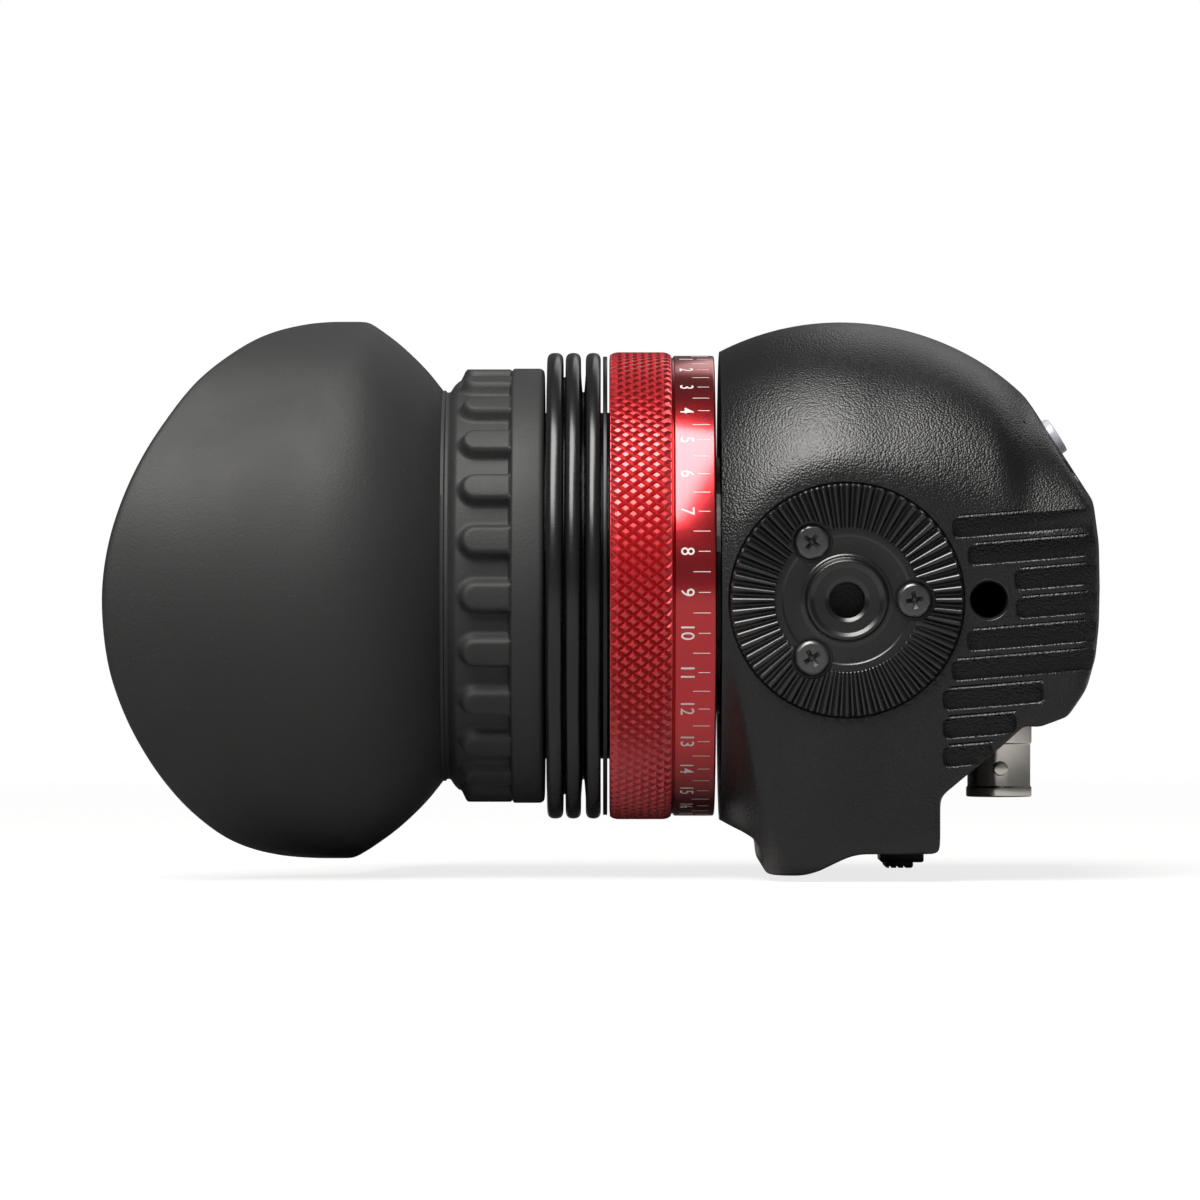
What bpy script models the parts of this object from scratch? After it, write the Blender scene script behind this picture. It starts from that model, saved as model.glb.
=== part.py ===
"""Electronic viewfinder, as an assembly of separate pieces.

Units are metres, +Z up. The origin is the centre of the accessory rosette, on the face of its hub.
-Y points out of the rosette, +X runs along the optical axis away from the eye.
Most pieces are placed from the empty optical_axis: x along the axis, y across, z up, with x zero at
the centre of the ball-shaped body.
"""

from math import acos, copysign, cos, degrees, pi, radians, sin, sqrt

import bmesh
import bpy
from mathutils import Matrix, Vector

MM = 0.001

# Fits shared by every piece
GAP = 0.3 * MM
OVERRUN = 8.0 * MM
BITE = 0.4 * MM
MERGE = 0.01 * MM

# Body
BALL_RADIUS = 37.0 * MM
FACE_X = -17.0 * MM
BODY_WALL = 3.0 * MM
FACE_WALL = 2.6 * MM
BLOCK_NARROWING = 3.0 * MM
BOX_BLEND_LENGTH = 9.0 * MM
BELLY_SWELL = 1.0 * MM
BELLY_DROP = 4.15 * MM
FRONT_ROUNDING = 4.0 * MM

# Battery pack and the box that holds it
PACK_WIDTH = 20.6 * MM
PACK_NEAR_WALL = 8.8 * MM
PACK_ROUNDING = 1.2 * MM
PACK_RECESS = 0.4 * MM
BAY_CLEARANCE = 0.35 * MM
BOX_WALL = 1.57 * MM
BOX_ROOF = 1.6 * MM
BOX_FLOOR = 3.2 * MM
BOX_CENTRE_X = 0.62 * MM
BOX_RISE = 0.2 * MM
BAY_TOP_Z = 5.5 * MM
RIDGE_DROP = 3.05 * MM

# Rosette and its screws
ROSETTE_RADIUS = 15.9 * MM
ROSETTE_TEETH = 60
ROSETTE_PROUD = 1.5 * MM
ROSETTE_THICKNESS = 3.2 * MM
TOOTH_INNER_RADIUS = 9.85 * MM
TOOTH_DEPTH = 0.85 * MM
TOOTH_RING_THICKNESS = 2.2 * MM
ROSETTE_FLOOR = 1.1 * MM
HUB_RADIUS = 5.5 * MM
HUB_BEVEL = 0.5 * MM
HUB_TAP_RADIUS = 2.45 * MM
HUB_TAP_DEPTH = 8.0 * MM
ROSETTE_SCREW_CIRCLE = 9.25 * MM
ROSETTE_SCREW_ANGLES = (0.0, 121.0, 239.0)
ROSETTE_SCREW_DROP = 1.0 * MM
AXIS_RISE = 2.0 * MM

# Screws of two sizes: head radius, head height, shank radius, shank length
ROSETTE_SCREW = (2.5 * MM, 1.0 * MM, 1.2 * MM, 4.6 * MM)
PLATE_SCREW = (1.8 * MM, 1.1 * MM, 0.9 * MM, 3.6 * MM)
DRIVE_SLOT_DEPTH = 0.5 * MM
DRIVE_SLOT_WIDTH_SHARE = 0.3
DRIVE_SLOT_LENGTH_SHARE = 1.16

# Second tapped hole
SIDE_HOLE_X = 19.4 * MM
SIDE_HOLE_RADIUS = 2.65 * MM
SIDE_HOLE_LIP = 2.6 * MM
INSERT_RADIUS = 4.0 * MM
INSERT_LENGTH = 5.0 * MM

# Cooling grooves
GROOVE_DEPTH = 1.5 * MM
GROOVE_HEIGHT = 2.6 * MM
GROOVE_PITCH = 3.9 * MM
GROOVE_CORNER = 0.9 * MM
GROOVE_SLOPE = 4.7
GROOVE_TOP_Z = 9.05 * MM

# Front plate and controls
PLATE_THICKNESS = 2.8 * MM
PLATE_LEDGE = 1.8 * MM
PLATE_LEDGE_WIDTH = 4.0 * MM
PLATE_FOOT_LEDGE = 1.4 * MM
PLATE_SCREW_INSET = 2.2 * MM
BUTTON_RADIUS = 2.6 * MM
BUTTON_PROUD = 0.8 * MM
BUTTON_TRAVEL = 0.5 * MM
BUTTON_END_ROOM = 0.8 * MM
BUTTON_COUNT = 4
BUTTON_FLANGE_RADIUS = 3.0 * MM
BUTTON_FLANGE_ROOM = 1.2 * MM
BUTTON_FLANGE = 0.8 * MM
BUTTON_STEM_RADIUS = 1.0 * MM
BUTTON_STEM = 1.2 * MM
SWITCH_HEIGHT = 1.0 * MM
SWITCH_SIZE = 4.0 * MM
KEY_BOARD_THICKNESS = 1.2 * MM
KEY_BOARD_SIDE_ROOM = 1.0 * MM
KEY_BOARD_FOOT_ROOM = 1.8 * MM
PLATE_POST_RADIUS = 1.6 * MM
JOYSTICK_HOLE_RADIUS = 7.5 * MM
JOYSTICK_CAP_RADIUS = 5.2 * MM
JOYSTICK_CAP_THICKNESS = 1.8 * MM
JOYSTICK_CAP_DROP = 0.6 * MM
JOYSTICK_SKIRT_RADIUS = 2.4 * MM
JOYSTICK_SKIRT = 1.6 * MM
JOYSTICK_TRAVEL = 0.4 * MM
JOYSTICK_PIVOT_DEPTH = 7.0 * MM
JOYSTICK_ROD_RADIUS = 1.2 * MM
JOYSTICK_PIN_RADIUS = 0.6 * MM
YOKE_RADIUS = 5.0 * MM
YOKE_BORE = 3.6 * MM
YOKE_HALF_THICKNESS = 0.8 * MM
BASE_BORE = 7.2 * MM
BASE_WALL = 1.2 * MM
BASE_FLOOR = 1.2 * MM
BASE_DEPTH_BEHIND_PIVOT = 3.0 * MM

# Connector bay under the front block
PANEL_RECESS = 0.1 * MM
BAY_FRONT_ROOM = 0.9 * MM
BAY_FRONT_LIP_WIDTH = 1.0 * MM
INTERFACE_END_ROOM = 0.6 * MM
PANEL_THICKNESS = 1.3 * MM
BAY_LIP = 1.6 * MM
BAY_LIP_WIDTH = 2.0 * MM
BOARD_THICKNESS = 1.6 * MM
INTERFACE_RISE = 6.8 * MM
JACK_RADIUS = 4.6 * MM
JACK_WALL = 0.8 * MM
JACK_LENGTH = 11.5 * MM
JACK_BORE_DEPTH = 9.5 * MM
JACK_LUG_RADIUS = 1.03 * MM
JACK_LUG_HEIGHT = 0.9 * MM
JACK_LUG_RISE = 4.0 * MM
JACK_NUT_RADIUS = 6.2 * MM
JACK_NUT_THICKNESS = 1.1 * MM
CONTACT_RADIUS = 2.3 * MM
CONTACT_LENGTH = 6.0 * MM
CONTACT_PIN_RADIUS = 0.7 * MM
CONTACT_PIN_LENGTH = 2.2 * MM
HDMI_WIDTH = 11.2 * MM
HDMI_WALL = 0.5 * MM
HDMI_DEPTH = 5.0 * MM
HDMI_TONGUE = 0.8 * MM
HDMI_Y = -16.0 * MM
POWER_Y = 15.0 * MM
POWER_RADIUS = 4.0 * MM
POWER_BORE = 3.0 * MM

# Inside the body
MAIN_BOARD_ROOM = 5.4 * MM
SPREADER_OVERHANG = 2.0 * MM
CHIP_SIZE = 12.0 * MM
CHIP_HEIGHT = 1.5 * MM
SPREADER_ROOM = 4.2 * MM
SPREADER_THICKNESS = 1.8 * MM
POST_RADIUS = 2.2 * MM
POST_HEIGHT = 3.0 * MM
BOARD_MARGIN = 3.0 * MM
CONTACT_BLOCK_SIZE = (12.0 * MM, 1.6 * MM, 8.0 * MM)
CONTACT_BLOCK_RISE = 11.6 * MM
DISPLAY_WINDOW = (15.0 * MM, 12.0 * MM)
DISPLAY_SIZE = (18.0 * MM, 15.0 * MM)
DISPLAY_THICKNESS = 1.2 * MM
DISPLAY_FRAME_THICKNESS = 1.5 * MM

# Latch under the box
LATCH_END_ROOM = 13.0 * MM
LATCH_LEFT_X = 6.5 * MM
LATCH_LENGTH = 5.8 * MM
LATCH_HALF_WIDTH = 6.0 * MM
LATCH_NECK_HALF_WIDTH = 4.6 * MM
LATCH_NECK_LENGTH = 4.2 * MM
LATCH_FLANGE = 0.9 * MM
LATCH_FLANGE_RISE = 1.2 * MM
LATCH_STEP = 2.2 * MM
LATCH_PAD = 0.8 * MM
LATCH_PAD_LENGTH = 4.0 * MM
LATCH_TRAVEL = 2.0 * MM
LATCH_SPRING_LENGTH = 2.6 * MM
LATCH_SPRING_STRIP = 0.35 * MM

# Guide tube, focus ring and bellows, all turned about the optical axis
NECK_BORE = 15.5 * MM
NECK_RADIUS = 18.0 * MM
RING_TO_FACE = 0.75 * MM
RING_END_WALL = 2.35 * MM
TUBE_END_WALL = 1.8 * MM
TUBE_BORE = 24.6 * MM
TUBE_RADIUS = 27.0 * MM
RING_LENGTH = 14.65 * MM
DIAL_LENGTH = 5.55 * MM
DIAL_RADIUS = 32.3 * MM
KNURL_RADIUS = 32.8 * MM
RING_CHAMFER = 0.5 * MM
CAM_DEPTH = 1.5 * MM
CAM_SWEEP = 180.0
EYEPIECE_TRAVEL = 5.0 * MM
PIN_RADIUS = 1.0 * MM
PIN_SIDE = 3.0 * MM
FLANGE_RADIUS = 32.2 * MM
FLANGE_THICKNESS = 0.6 * MM
BELLOWS_LENGTH = 7.6 * MM
BELLOWS_BORE = 25.2 * MM
BELLOWS_TIP_RADIUS = 32.7 * MM
BELLOWS_VALLEY_RADIUS = 26.6 * MM
BELLOWS_FOLDS = 3
BELLOWS_WALL = 0.6 * MM
BELLOWS_TIP = 0.15 * MM

# Eyepiece
BARREL_RADIUS = 24.3 * MM
BARREL_BORE = 21.5 * MM
BARREL_LIP_BORE = 18.5 * MM
BARREL_LIP = 1.6 * MM
BARREL_LENGTH = 32.4 * MM
SHOULDER_RADIUS = 28.3 * MM
SHOULDER = 0.7 * MM
LENS_RADIUS = 21.2 * MM
LENS_THICKNESS = 6.5 * MM
LENS_EDGE = 2.2 * MM
RETAINER = 2.2 * MM
RETAINER_BACK = 0.4 * MM

# Eyecup
BAND_LENGTH = 4.65 * MM
BAND_RADIUS = 30.5 * MM
PAD_COUNT = 24
PAD_LENGTH = 6.9 * MM
PAD_RADIUS = 30.4 * MM
PAD_BASE_RADIUS = 28.7 * MM
PAD_WIDTH = 8.3
PAD_OFFSET = -3.0
PAD_FLANK = 0.9
CUP_BORE = 27.7 * MM
CUP_NECK_BORE = 25.3 * MM
CUP_NECK_RADIUS = 27.1 * MM
CUP_FLARE_RADIUS = 36.9 * MM
CUP_WALL = 2.0 * MM
CUP_FLARE_LENGTH = 11.1 * MM
CUP_NECK_RISE = 1.9 * MM
CUP_RIM = 1.5 * MM
WING_REACH = 34.1 * MM
WING_RADIUS = 37.3 * MM
WING_TIP_RADIUS = 36.4 * MM
CLIP_LENGTH = 9.0 * MM

# Widths as shares of BALL_RADIUS
BODY_WIDTH_SHARE = 0.8919
PLATE_WIDTH_SHARE = 0.7027
BAY_WIDTH_SHARE = 0.7432
# Outlines, as shares of BALL_RADIUS: (x, z)
FACET_TOP_SHARE = (0.692, 0.719)
FACET_FOOT_SHARE = (0.949, 0.322)
FRONT_SHARES = ((0.970, 0.165), (0.973, 0.0), (0.970, -0.135), (0.957, -0.257))
CHIN_SHARES = ((0.927, -0.365), (0.865, -0.455), (0.760, -0.494), (0.700, -0.492))
SKIRT_FOOT_SHARE = -0.781
# The ridge under the box: (share of the box width from its left side, share of RIDGE_DROP)
RIDGE_SHARES = ((0.552, 0.0), (0.475, 0.16), (0.39, 0.5), (0.31, 0.82), (0.23, 0.98), (0.05, 1.0),
                (0.016, 0.78), (0.0, 0.25))
# Grooves: where each starts and ends, as shares of BALL_RADIUS
GROOVE_START_SHARES = (0.388, 0.446, 0.619, 0.624, 0.443, 0.386, 0.354, 0.354, 0.354)
GROOVE_END_SHARES = (1.2, 1.2, 1.2, 1.2, 1.2, 1.2, 0.724, 0.624, 0.540)
# Where the body's sections stand, from its face to its front
STATION_SHARES = (0.0, 0.035, 0.07, 0.11, 0.165, 0.235, 0.31, 0.39, 0.47, 0.55, 0.63, 0.71, 0.79, 0.87,
                  0.905, 0.93, 0.948, 0.958, 1.0)
FLAT_LIMIT_SHARE = 0.998
BLOCK_END_SHARE = 1.04
BUTTON_PLACE_SHARE = 0.40
PLATE_SCREW_SHARE = 0.70
PLATE_TOP_SHARE = 0.10
# Along the connector bay, as shares of its length
JACK_PLACE_SHARE = 0.585
HDMI_SPREAD_SHARE = 0.215
HDMI_THICKNESS_SHARE = 0.21
REBATE_TOP_SHARE = 0.08
JOYSTICK_PLACE_SHARE = 0.03
# The eyecup's wing: (degrees about the axis from the near side, upwards; share of WING_REACH)
WING_SHARES = ((-180, 0.0), (-110, 0.0), (-100, 0.04), (-90, 0.14), (-80, 0.352), (-70, 0.513), (-60, 0.633),
               (-50, 0.742), (-40, 0.836), (-30, 0.915), (-20, 0.971), (-10, 0.997), (0, 1.0), (10, 0.974),
               (20, 0.921), (30, 0.845), (40, 0.751), (50, 0.651), (60, 0.528), (70, 0.399), (80, 0.246),
               (90, 0.085), (100, 0.02), (110, 0.0), (180, 0.0))

# Places that follow from the sizes above
BODY_HALF_WIDTH = BODY_WIDTH_SHARE * BALL_RADIUS
PLATE_HALF_WIDTH = PLATE_WIDTH_SHARE * BALL_RADIUS
BAY_HALF_WIDTH = BAY_WIDTH_SHARE * BALL_RADIUS
PACK_LENGTH = 2 * BODY_HALF_WIDTH - PACK_RECESS - PACK_NEAR_WALL
BOX_BOTTOM_Z = BOX_RISE - BALL_RADIUS
LATCH_CENTRE_Y = BODY_HALF_WIDTH - LATCH_END_ROOM
ROSETTE_FACE_Y = -(BODY_HALF_WIDTH + ROSETTE_PROUD)
ROSETTE_BACK_Y = ROSETTE_FACE_Y + ROSETTE_THICKNESS
ROSETTE_Z = -AXIS_RISE
RING_X = FACE_X - RING_TO_FACE
RING_END_X = RING_X - RING_LENGTH
RING_BORE = TUBE_RADIUS + GAP
TUBE_DISC_X = RING_X - RING_END_WALL - GAP
TUBE_ROOM_X = TUBE_DISC_X - TUBE_END_WALL
FLANGE_X = RING_END_X - GAP
BELLOWS_X = FLANGE_X - FLANGE_THICKNESS - GAP
BELLOWS_END_X = BELLOWS_X - BELLOWS_LENGTH
SHOULDER_X = BELLOWS_END_X - GAP
CUP_X = BELLOWS_END_X - 0.85 * GAP
BARREL_X = TUBE_ROOM_X - 1.3 * GAP
PIN_X = BARREL_X - PIN_RADIUS - 1.4 * MM
BAY_LEFT_X = BOX_CENTRE_X - PACK_WIDTH / 2 - BAY_CLEARANCE
BAY_RIGHT_X = BOX_CENTRE_X + PACK_WIDTH / 2 + BAY_CLEARANCE
BOX_LEFT_X = BAY_LEFT_X - BOX_WALL
BOX_RIGHT_X = BAY_RIGHT_X + BOX_WALL
BAY_BOTTOM_Z = BOX_BOTTOM_Z + BOX_FLOOR
CONTACT_BLOCK_Z = BAY_BOTTOM_Z + CONTACT_BLOCK_RISE
ROOF_Z = BAY_TOP_Z + BOX_ROOF
BAY_END_Y = BODY_HALF_WIDTH - PACK_RECESS - PACK_LENGTH - GAP
BAY_END_X = CHIN_SHARES[2][0] * BALL_RADIUS + BAY_FRONT_ROOM
BAY_LENGTH = BAY_END_X - BOX_RIGHT_X
PANEL_BOTTOM_Z = CHIN_SHARES[-1][1] * BALL_RADIUS + PANEL_RECESS
JACK_X = BOX_RIGHT_X + JACK_PLACE_SHARE * BAY_LENGTH
HDMI_SPREAD_X = HDMI_SPREAD_SHARE * BAY_LENGTH
HDMI_THICKNESS = HDMI_THICKNESS_SHARE * BAY_LENGTH
JACK_BOTTOM_Z = PANEL_BOTTOM_Z - JACK_LENGTH
LIP_BOTTOM_Z = PANEL_BOTTOM_Z + PANEL_THICKNESS + GAP
LIP_TOP_Z = LIP_BOTTOM_Z + BAY_LIP
PANEL_TOP_Z = PANEL_BOTTOM_Z + PANEL_THICKNESS
INTERFACE_Z = PANEL_BOTTOM_Z + INTERFACE_RISE
MAIN_BOARD_Z = ROOF_Z + POST_HEIGHT + GAP

# How finely round things are cut
ROUND_STEPS = 48
SMALL_STEPS = 16
TINY_STEPS = 10
DOME_STEPS = 20
BELLY_STEPS = 12
CAM_STEPS = 24


def ball_point(share):
    """A point of the side outline from its shares of the ball's radius, as (x, z)."""
    return Vector((share[0] * BALL_RADIUS, share[1] * BALL_RADIUS))


FACET_TOP = ball_point(FACET_TOP_SHARE)
FACET_FOOT = ball_point(FACET_FOOT_SHARE)
FACET_ALONG = (FACET_FOOT - FACET_TOP).normalized()
FACET_OUT = Vector((-FACET_ALONG.y, FACET_ALONG.x))
if FACET_OUT.x < 0:
    FACET_OUT = -FACET_OUT
FRONT_X = FRONT_SHARES[1][0] * BALL_RADIUS
JOYSTICK_Z = JOYSTICK_PLACE_SHARE * BALL_RADIUS
JOYSTICK_PIVOT_X = FRONT_X - JOYSTICK_PIVOT_DEPTH
FACET_LENGTH = (FACET_FOOT - FACET_TOP).length
OPENING_TOP = BUTTON_PLACE_SHARE - (BUTTON_FLANGE_RADIUS + BUTTON_FLANGE_ROOM) / FACET_LENGTH
KEY_BOARD_HALF_WIDTH = PLATE_HALF_WIDTH - PLATE_LEDGE_WIDTH - KEY_BOARD_SIDE_ROOM
BUTTON_REACH = KEY_BOARD_HALF_WIDTH - 2 * PLATE_POST_RADIUS - BUTTON_FLANGE_RADIUS - BUTTON_END_ROOM
KEY_BOARD_DEPTH = PLATE_THICKNESS + GAP + BUTTON_FLANGE + BUTTON_STEM + BUTTON_TRAVEL + GAP + SWITCH_HEIGHT
KEY_BOARD_BACK = KEY_BOARD_DEPTH + KEY_BOARD_THICKNESS
KEY_BOARD_BACK_Z = (FACET_TOP + FACET_ALONG * FACET_LENGTH * BUTTON_PLACE_SHARE - FACET_OUT * KEY_BOARD_BACK).y
KEY_BOARD_FOOT_Z = JOYSTICK_Z + BASE_BORE + BASE_WALL + KEY_BOARD_FOOT_ROOM
KEY_BOARD_HALF_LENGTH = (KEY_BOARD_FOOT_Z - KEY_BOARD_BACK_Z) / FACET_ALONG.y
MAIN_BOARD_TOP_Z = MAIN_BOARD_Z + BOARD_THICKNESS
MAIN_BOARD_END_X = (FACET_TOP.x + (MAIN_BOARD_TOP_Z - FACET_TOP.y) * FACET_ALONG.x / FACET_ALONG.y
                    - KEY_BOARD_BACK / FACET_OUT.x - MAIN_BOARD_ROOM)
MAIN_BOARD_CENTRE_X = (BAY_LEFT_X + MAIN_BOARD_END_X) / 2
MAIN_BOARD_HALF_LENGTH = (MAIN_BOARD_END_X - BAY_LEFT_X) / 2
SPREADER_Z = MAIN_BOARD_TOP_Z + CHIP_HEIGHT + GAP
SPREADER_HALF_WIDTH = sqrt((BALL_RADIUS - BODY_WALL) ** 2 - (SPREADER_Z + SPREADER_THICKNESS) ** 2) - SPREADER_ROOM
MAIN_BOARD_HALF_WIDTH = SPREADER_HALF_WIDTH - SPREADER_OVERHANG


# Scene and materials

def clear_scene():
    for obj in list(bpy.data.objects):
        bpy.data.objects.remove(obj, do_unlink=True)


def new_collection(name):
    collection = bpy.data.collections.new(name)
    bpy.context.scene.collection.children.link(collection)
    return collection


def new_material(name, colour, roughness, metallic=0.0, transmission=0.0):
    material = bpy.data.materials.new(name)
    material.use_nodes = True
    shader = material.node_tree.nodes["Principled BSDF"]
    shader.inputs["Base Color"].default_value = (*colour, 1.0)
    shader.inputs["Roughness"].default_value = roughness
    shader.inputs["Metallic"].default_value = metallic
    shader.inputs["Transmission Weight"].default_value = transmission
    material.diffuse_color = (*colour, 1.0)
    return material


clear_scene()
PARTS = new_collection("electronic_viewfinder")
CUTTERS = new_collection("cutters")
AXIS = bpy.data.objects.new("optical_axis", None)
AXIS.location = (0.0, -ROSETTE_FACE_Y, AXIS_RISE)
PARTS.objects.link(AXIS)

BODY_PAINT = new_material("body_paint", (0.022, 0.022, 0.024), 0.42)
HARD_BLACK = new_material("black_anodised", (0.02, 0.02, 0.022), 0.3, 0.9)
RUBBER = new_material("eyecup_rubber", (0.03, 0.031, 0.034), 0.62)
BELLOWS_RUBBER = new_material("bellows_rubber", (0.012, 0.012, 0.013), 0.33)
RED_METAL = new_material("red_anodised", (0.62, 0.02, 0.05), 0.3, 1.0)
GREY_METAL = new_material("grey_metal", (0.4, 0.4, 0.42), 0.35, 1.0)
NICKEL = new_material("nickel", (0.78, 0.75, 0.7), 0.15, 1.0)
GLASS = new_material("lens_glass", (0.85, 0.9, 0.95), 0.02, 0.0, 1.0)
SCREEN = new_material("display_black", (0.01, 0.01, 0.015), 0.1)
BOARD = new_material("circuit_board", (0.02, 0.12, 0.05), 0.5)
BLACK_PLASTIC = new_material("black_plastic", (0.025, 0.025, 0.027), 0.45)
BUTTON_RESIN = new_material("button_resin", (0.72, 0.74, 0.78), 0.3)
WHITE_PLASTIC = new_material("white_insulator", (0.85, 0.84, 0.8), 0.4)


# Modelling helpers

def add_object(name, mesh, material=None):
    """Adds a mesh to the model, or to the cutters when it has no material."""
    obj = bpy.data.objects.new(name, mesh)
    obj.parent = AXIS
    if material is None:
        CUTTERS.objects.link(obj)
        obj.display_type = "WIRE"
        obj.hide_render = True
    else:
        PARTS.objects.link(obj)
        mesh.materials.append(material)
    return obj


def mesh_from(bm, name):
    mesh = bpy.data.meshes.new(name)
    bm.to_mesh(mesh)
    bm.free()
    return mesh


def box(name, low, high, material=None, rounding=0.0):
    """A block between two corners. Its origin is its centre."""
    low = Vector(low)
    high = Vector(high)
    bm = bmesh.new()
    bmesh.ops.create_cube(bm, size=1.0)
    bmesh.ops.scale(bm, vec=high - low, verts=bm.verts)
    obj = add_object(name, mesh_from(bm, name), material)
    obj.location = (low + high) / 2
    if rounding:
        bevel = obj.modifiers.new("rounding", "BEVEL")
        bevel.width = rounding
        bevel.segments = 2
    return obj


def cylinder(name, start, end, radius, material=None, steps=SMALL_STEPS, end_radius=None):
    """A cylinder or cone between two points. Its origin is the middle of its axis."""
    start = Vector(start)
    end = Vector(end)
    along = end - start
    bm = bmesh.new()
    bmesh.ops.create_cone(bm, cap_ends=True, segments=steps, radius1=radius,
                          radius2=radius if end_radius is None else end_radius, depth=along.length)
    obj = add_object(name, mesh_from(bm, name), material)
    obj.location = (start + end) / 2
    obj.rotation_mode = "QUATERNION"
    obj.rotation_quaternion = along.to_track_quat("Z", "Y")
    smooth(obj)
    return obj


def smooth(obj):
    obj.data.shade_smooth()
    obj.data.set_sharp_from_angle(angle=radians(30))


def turned(name, outline, material=None, steps=ROUND_STEPS):
    """A closed outline of (x, radius) points, turned about the optical axis."""
    area = 0.0
    for (x0, r0), (x1, r1) in zip(outline, outline[1:] + outline[:1]):
        area += r0 * x1 - r1 * x0
    points = outline if area < 0 else outline[::-1]
    mesh = bpy.data.meshes.new(name)
    edges = [(i, (i + 1) % len(points)) for i in range(len(points))]
    mesh.from_pydata([(r, 0.0, x) for x, r in points], edges, [])
    obj = add_object(name, mesh, material)
    obj.rotation_euler = (0.0, pi / 2, 0.0)
    screw = obj.modifiers.new("turn", "SCREW")
    screw.steps = steps
    screw.render_steps = steps
    screw.use_merge_vertices = True
    screw.merge_threshold = MERGE
    return obj


def loft(name, rings, material=None, cyclic=False):
    """Skins a row of closed rings that have equal counts of points, with caps unless it is cyclic."""
    bm = bmesh.new()
    rows = [[bm.verts.new(point) for point in ring] for ring in rings]
    pairs = list(zip(rows, rows[1:]))
    if cyclic:
        pairs.append((rows[-1], rows[0]))
    for one, two in pairs:
        for i in range(len(one)):
            j = (i + 1) % len(one)
            bm.faces.new((one[i], one[j], two[j], two[i]))
    if not cyclic:
        bm.faces.new(rows[0])
        bm.faces.new(rows[-1])
    bmesh.ops.recalc_face_normals(bm, faces=bm.faces)
    return add_object(name, mesh_from(bm, name), material)


def prism(name, outline, low_y, high_y, material=None):
    """A flat (x, z) outline with a thickness across the body, from a filled 2D curve."""
    curve = bpy.data.curves.new(name, "CURVE")
    curve.dimensions = "2D"
    curve.fill_mode = "BOTH"
    curve.extrude = (high_y - low_y) / 2
    spline = curve.splines.new("POLY")
    spline.points.add(len(outline) - 1)
    for point, place in zip(spline.points, outline):
        point.co = (place[0], place[1], 0.0, 1.0)
    spline.use_cyclic_u = True
    source = bpy.data.objects.new(name, curve)
    CUTTERS.objects.link(source)
    bpy.context.view_layer.update()
    graph = bpy.context.evaluated_depsgraph_get()
    mesh = bpy.data.meshes.new_from_object(source.evaluated_get(graph))
    bpy.data.objects.remove(source, do_unlink=True)
    bm = bmesh.new()
    bm.from_mesh(mesh)
    bmesh.ops.remove_doubles(bm, verts=bm.verts, dist=MERGE / 10)
    bmesh.ops.recalc_face_normals(bm, faces=bm.faces)
    bm.to_mesh(mesh)
    bm.free()
    mesh.name = name
    obj = add_object(name, mesh, material)
    obj.rotation_euler = (pi / 2, 0.0, 0.0)
    obj.location = (0.0, (low_y + high_y) / 2, 0.0)
    return obj


def combine(obj, operation, tools):
    for tool in tools:
        modifier = obj.modifiers.new(tool.name, "BOOLEAN")
        modifier.operation = operation
        modifier.solver = "EXACT"
        modifier.object = tool
    return obj


def cut(obj, *tools):
    return combine(obj, "DIFFERENCE", tools)


def join(obj, *tools):
    return combine(obj, "UNION", tools)


def keep(obj, *tools):
    return combine(obj, "INTERSECT", tools)


def set_origin(obj, place):
    """Moves an object's origin to a place on its joint's axis, and leaves its shape where it is."""
    bpy.context.view_layer.update()
    shift = obj.matrix_local.inverted() @ Vector(place)
    obj.data.transform(Matrix.Translation(-shift))
    obj.location = obj.matrix_local @ shift


def shell_point(place, across):
    """An (x, z) place of the side outline as a point at a distance across the body."""
    return Vector((place[0], across, place[1]))


# Body shell

def blend_share(value):
    value = max(0.0, min(1.0, value))
    return value * value * (3 - 2 * value)


def rounded_arc(width, height, power, half_width, steps, side):
    """Half of a section: a superellipse arc over the top (side 1) or bottom (side -1), cut at the flats."""
    limit = min(half_width / width, FLAT_LIMIT_SHARE)
    start = acos(limit ** (power / 2))
    points = []
    for i in range(steps + 1):
        angle = start + (pi - 2 * start) * i / steps
        y = width * copysign(abs(cos(angle)) ** (2 / power), cos(angle))
        z = height * sin(angle) ** (2 / power)
        points.append((side * y, side * z))
    return points


def body_section(x, inset):
    """A closed section of the body across the optical axis: a domed top and a boxier belly."""
    radius = BALL_RADIUS - inset
    over = min(max(x - (FRONT_X - inset - FRONT_ROUNDING), 0.0), FRONT_ROUNDING * FLAT_LIMIT_SHARE)
    half_width = BODY_HALF_WIDTH - inset - FRONT_ROUNDING + sqrt(FRONT_ROUNDING ** 2 - over ** 2)
    round_height = sqrt(max(radius ** 2 - x ** 2, (radius / 4) ** 2))
    if x > FACET_TOP.x:
        start = sqrt(radius ** 2 - FACET_TOP.x ** 2)
        round_height = start - (x - FACET_TOP.x) * FACET_ALONG.x
    front = blend_share(x / FACET_TOP.x)
    width = round_height if x <= 0 else radius - BLOCK_NARROWING * min(x / FACET_TOP.x, 1.2) ** 2
    low = blend_share((x - FACE_X) / BOX_BLEND_LENGTH)
    belly_width = round_height + (BODY_HALF_WIDTH + BELLY_SWELL - inset - round_height) * low
    belly_depth = round_height + (RIDGE_DROP + BELLY_DROP - BOX_BOTTOM_Z - inset - round_height) * low
    top = rounded_arc(width, round_height, 2 + 0.5 * front, half_width, DOME_STEPS, 1)
    bottom = rounded_arc(belly_width, belly_depth, 2 + 3 * low, half_width, BELLY_STEPS, -1)
    return [(x, y, z) for y, z in top + bottom]


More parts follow.
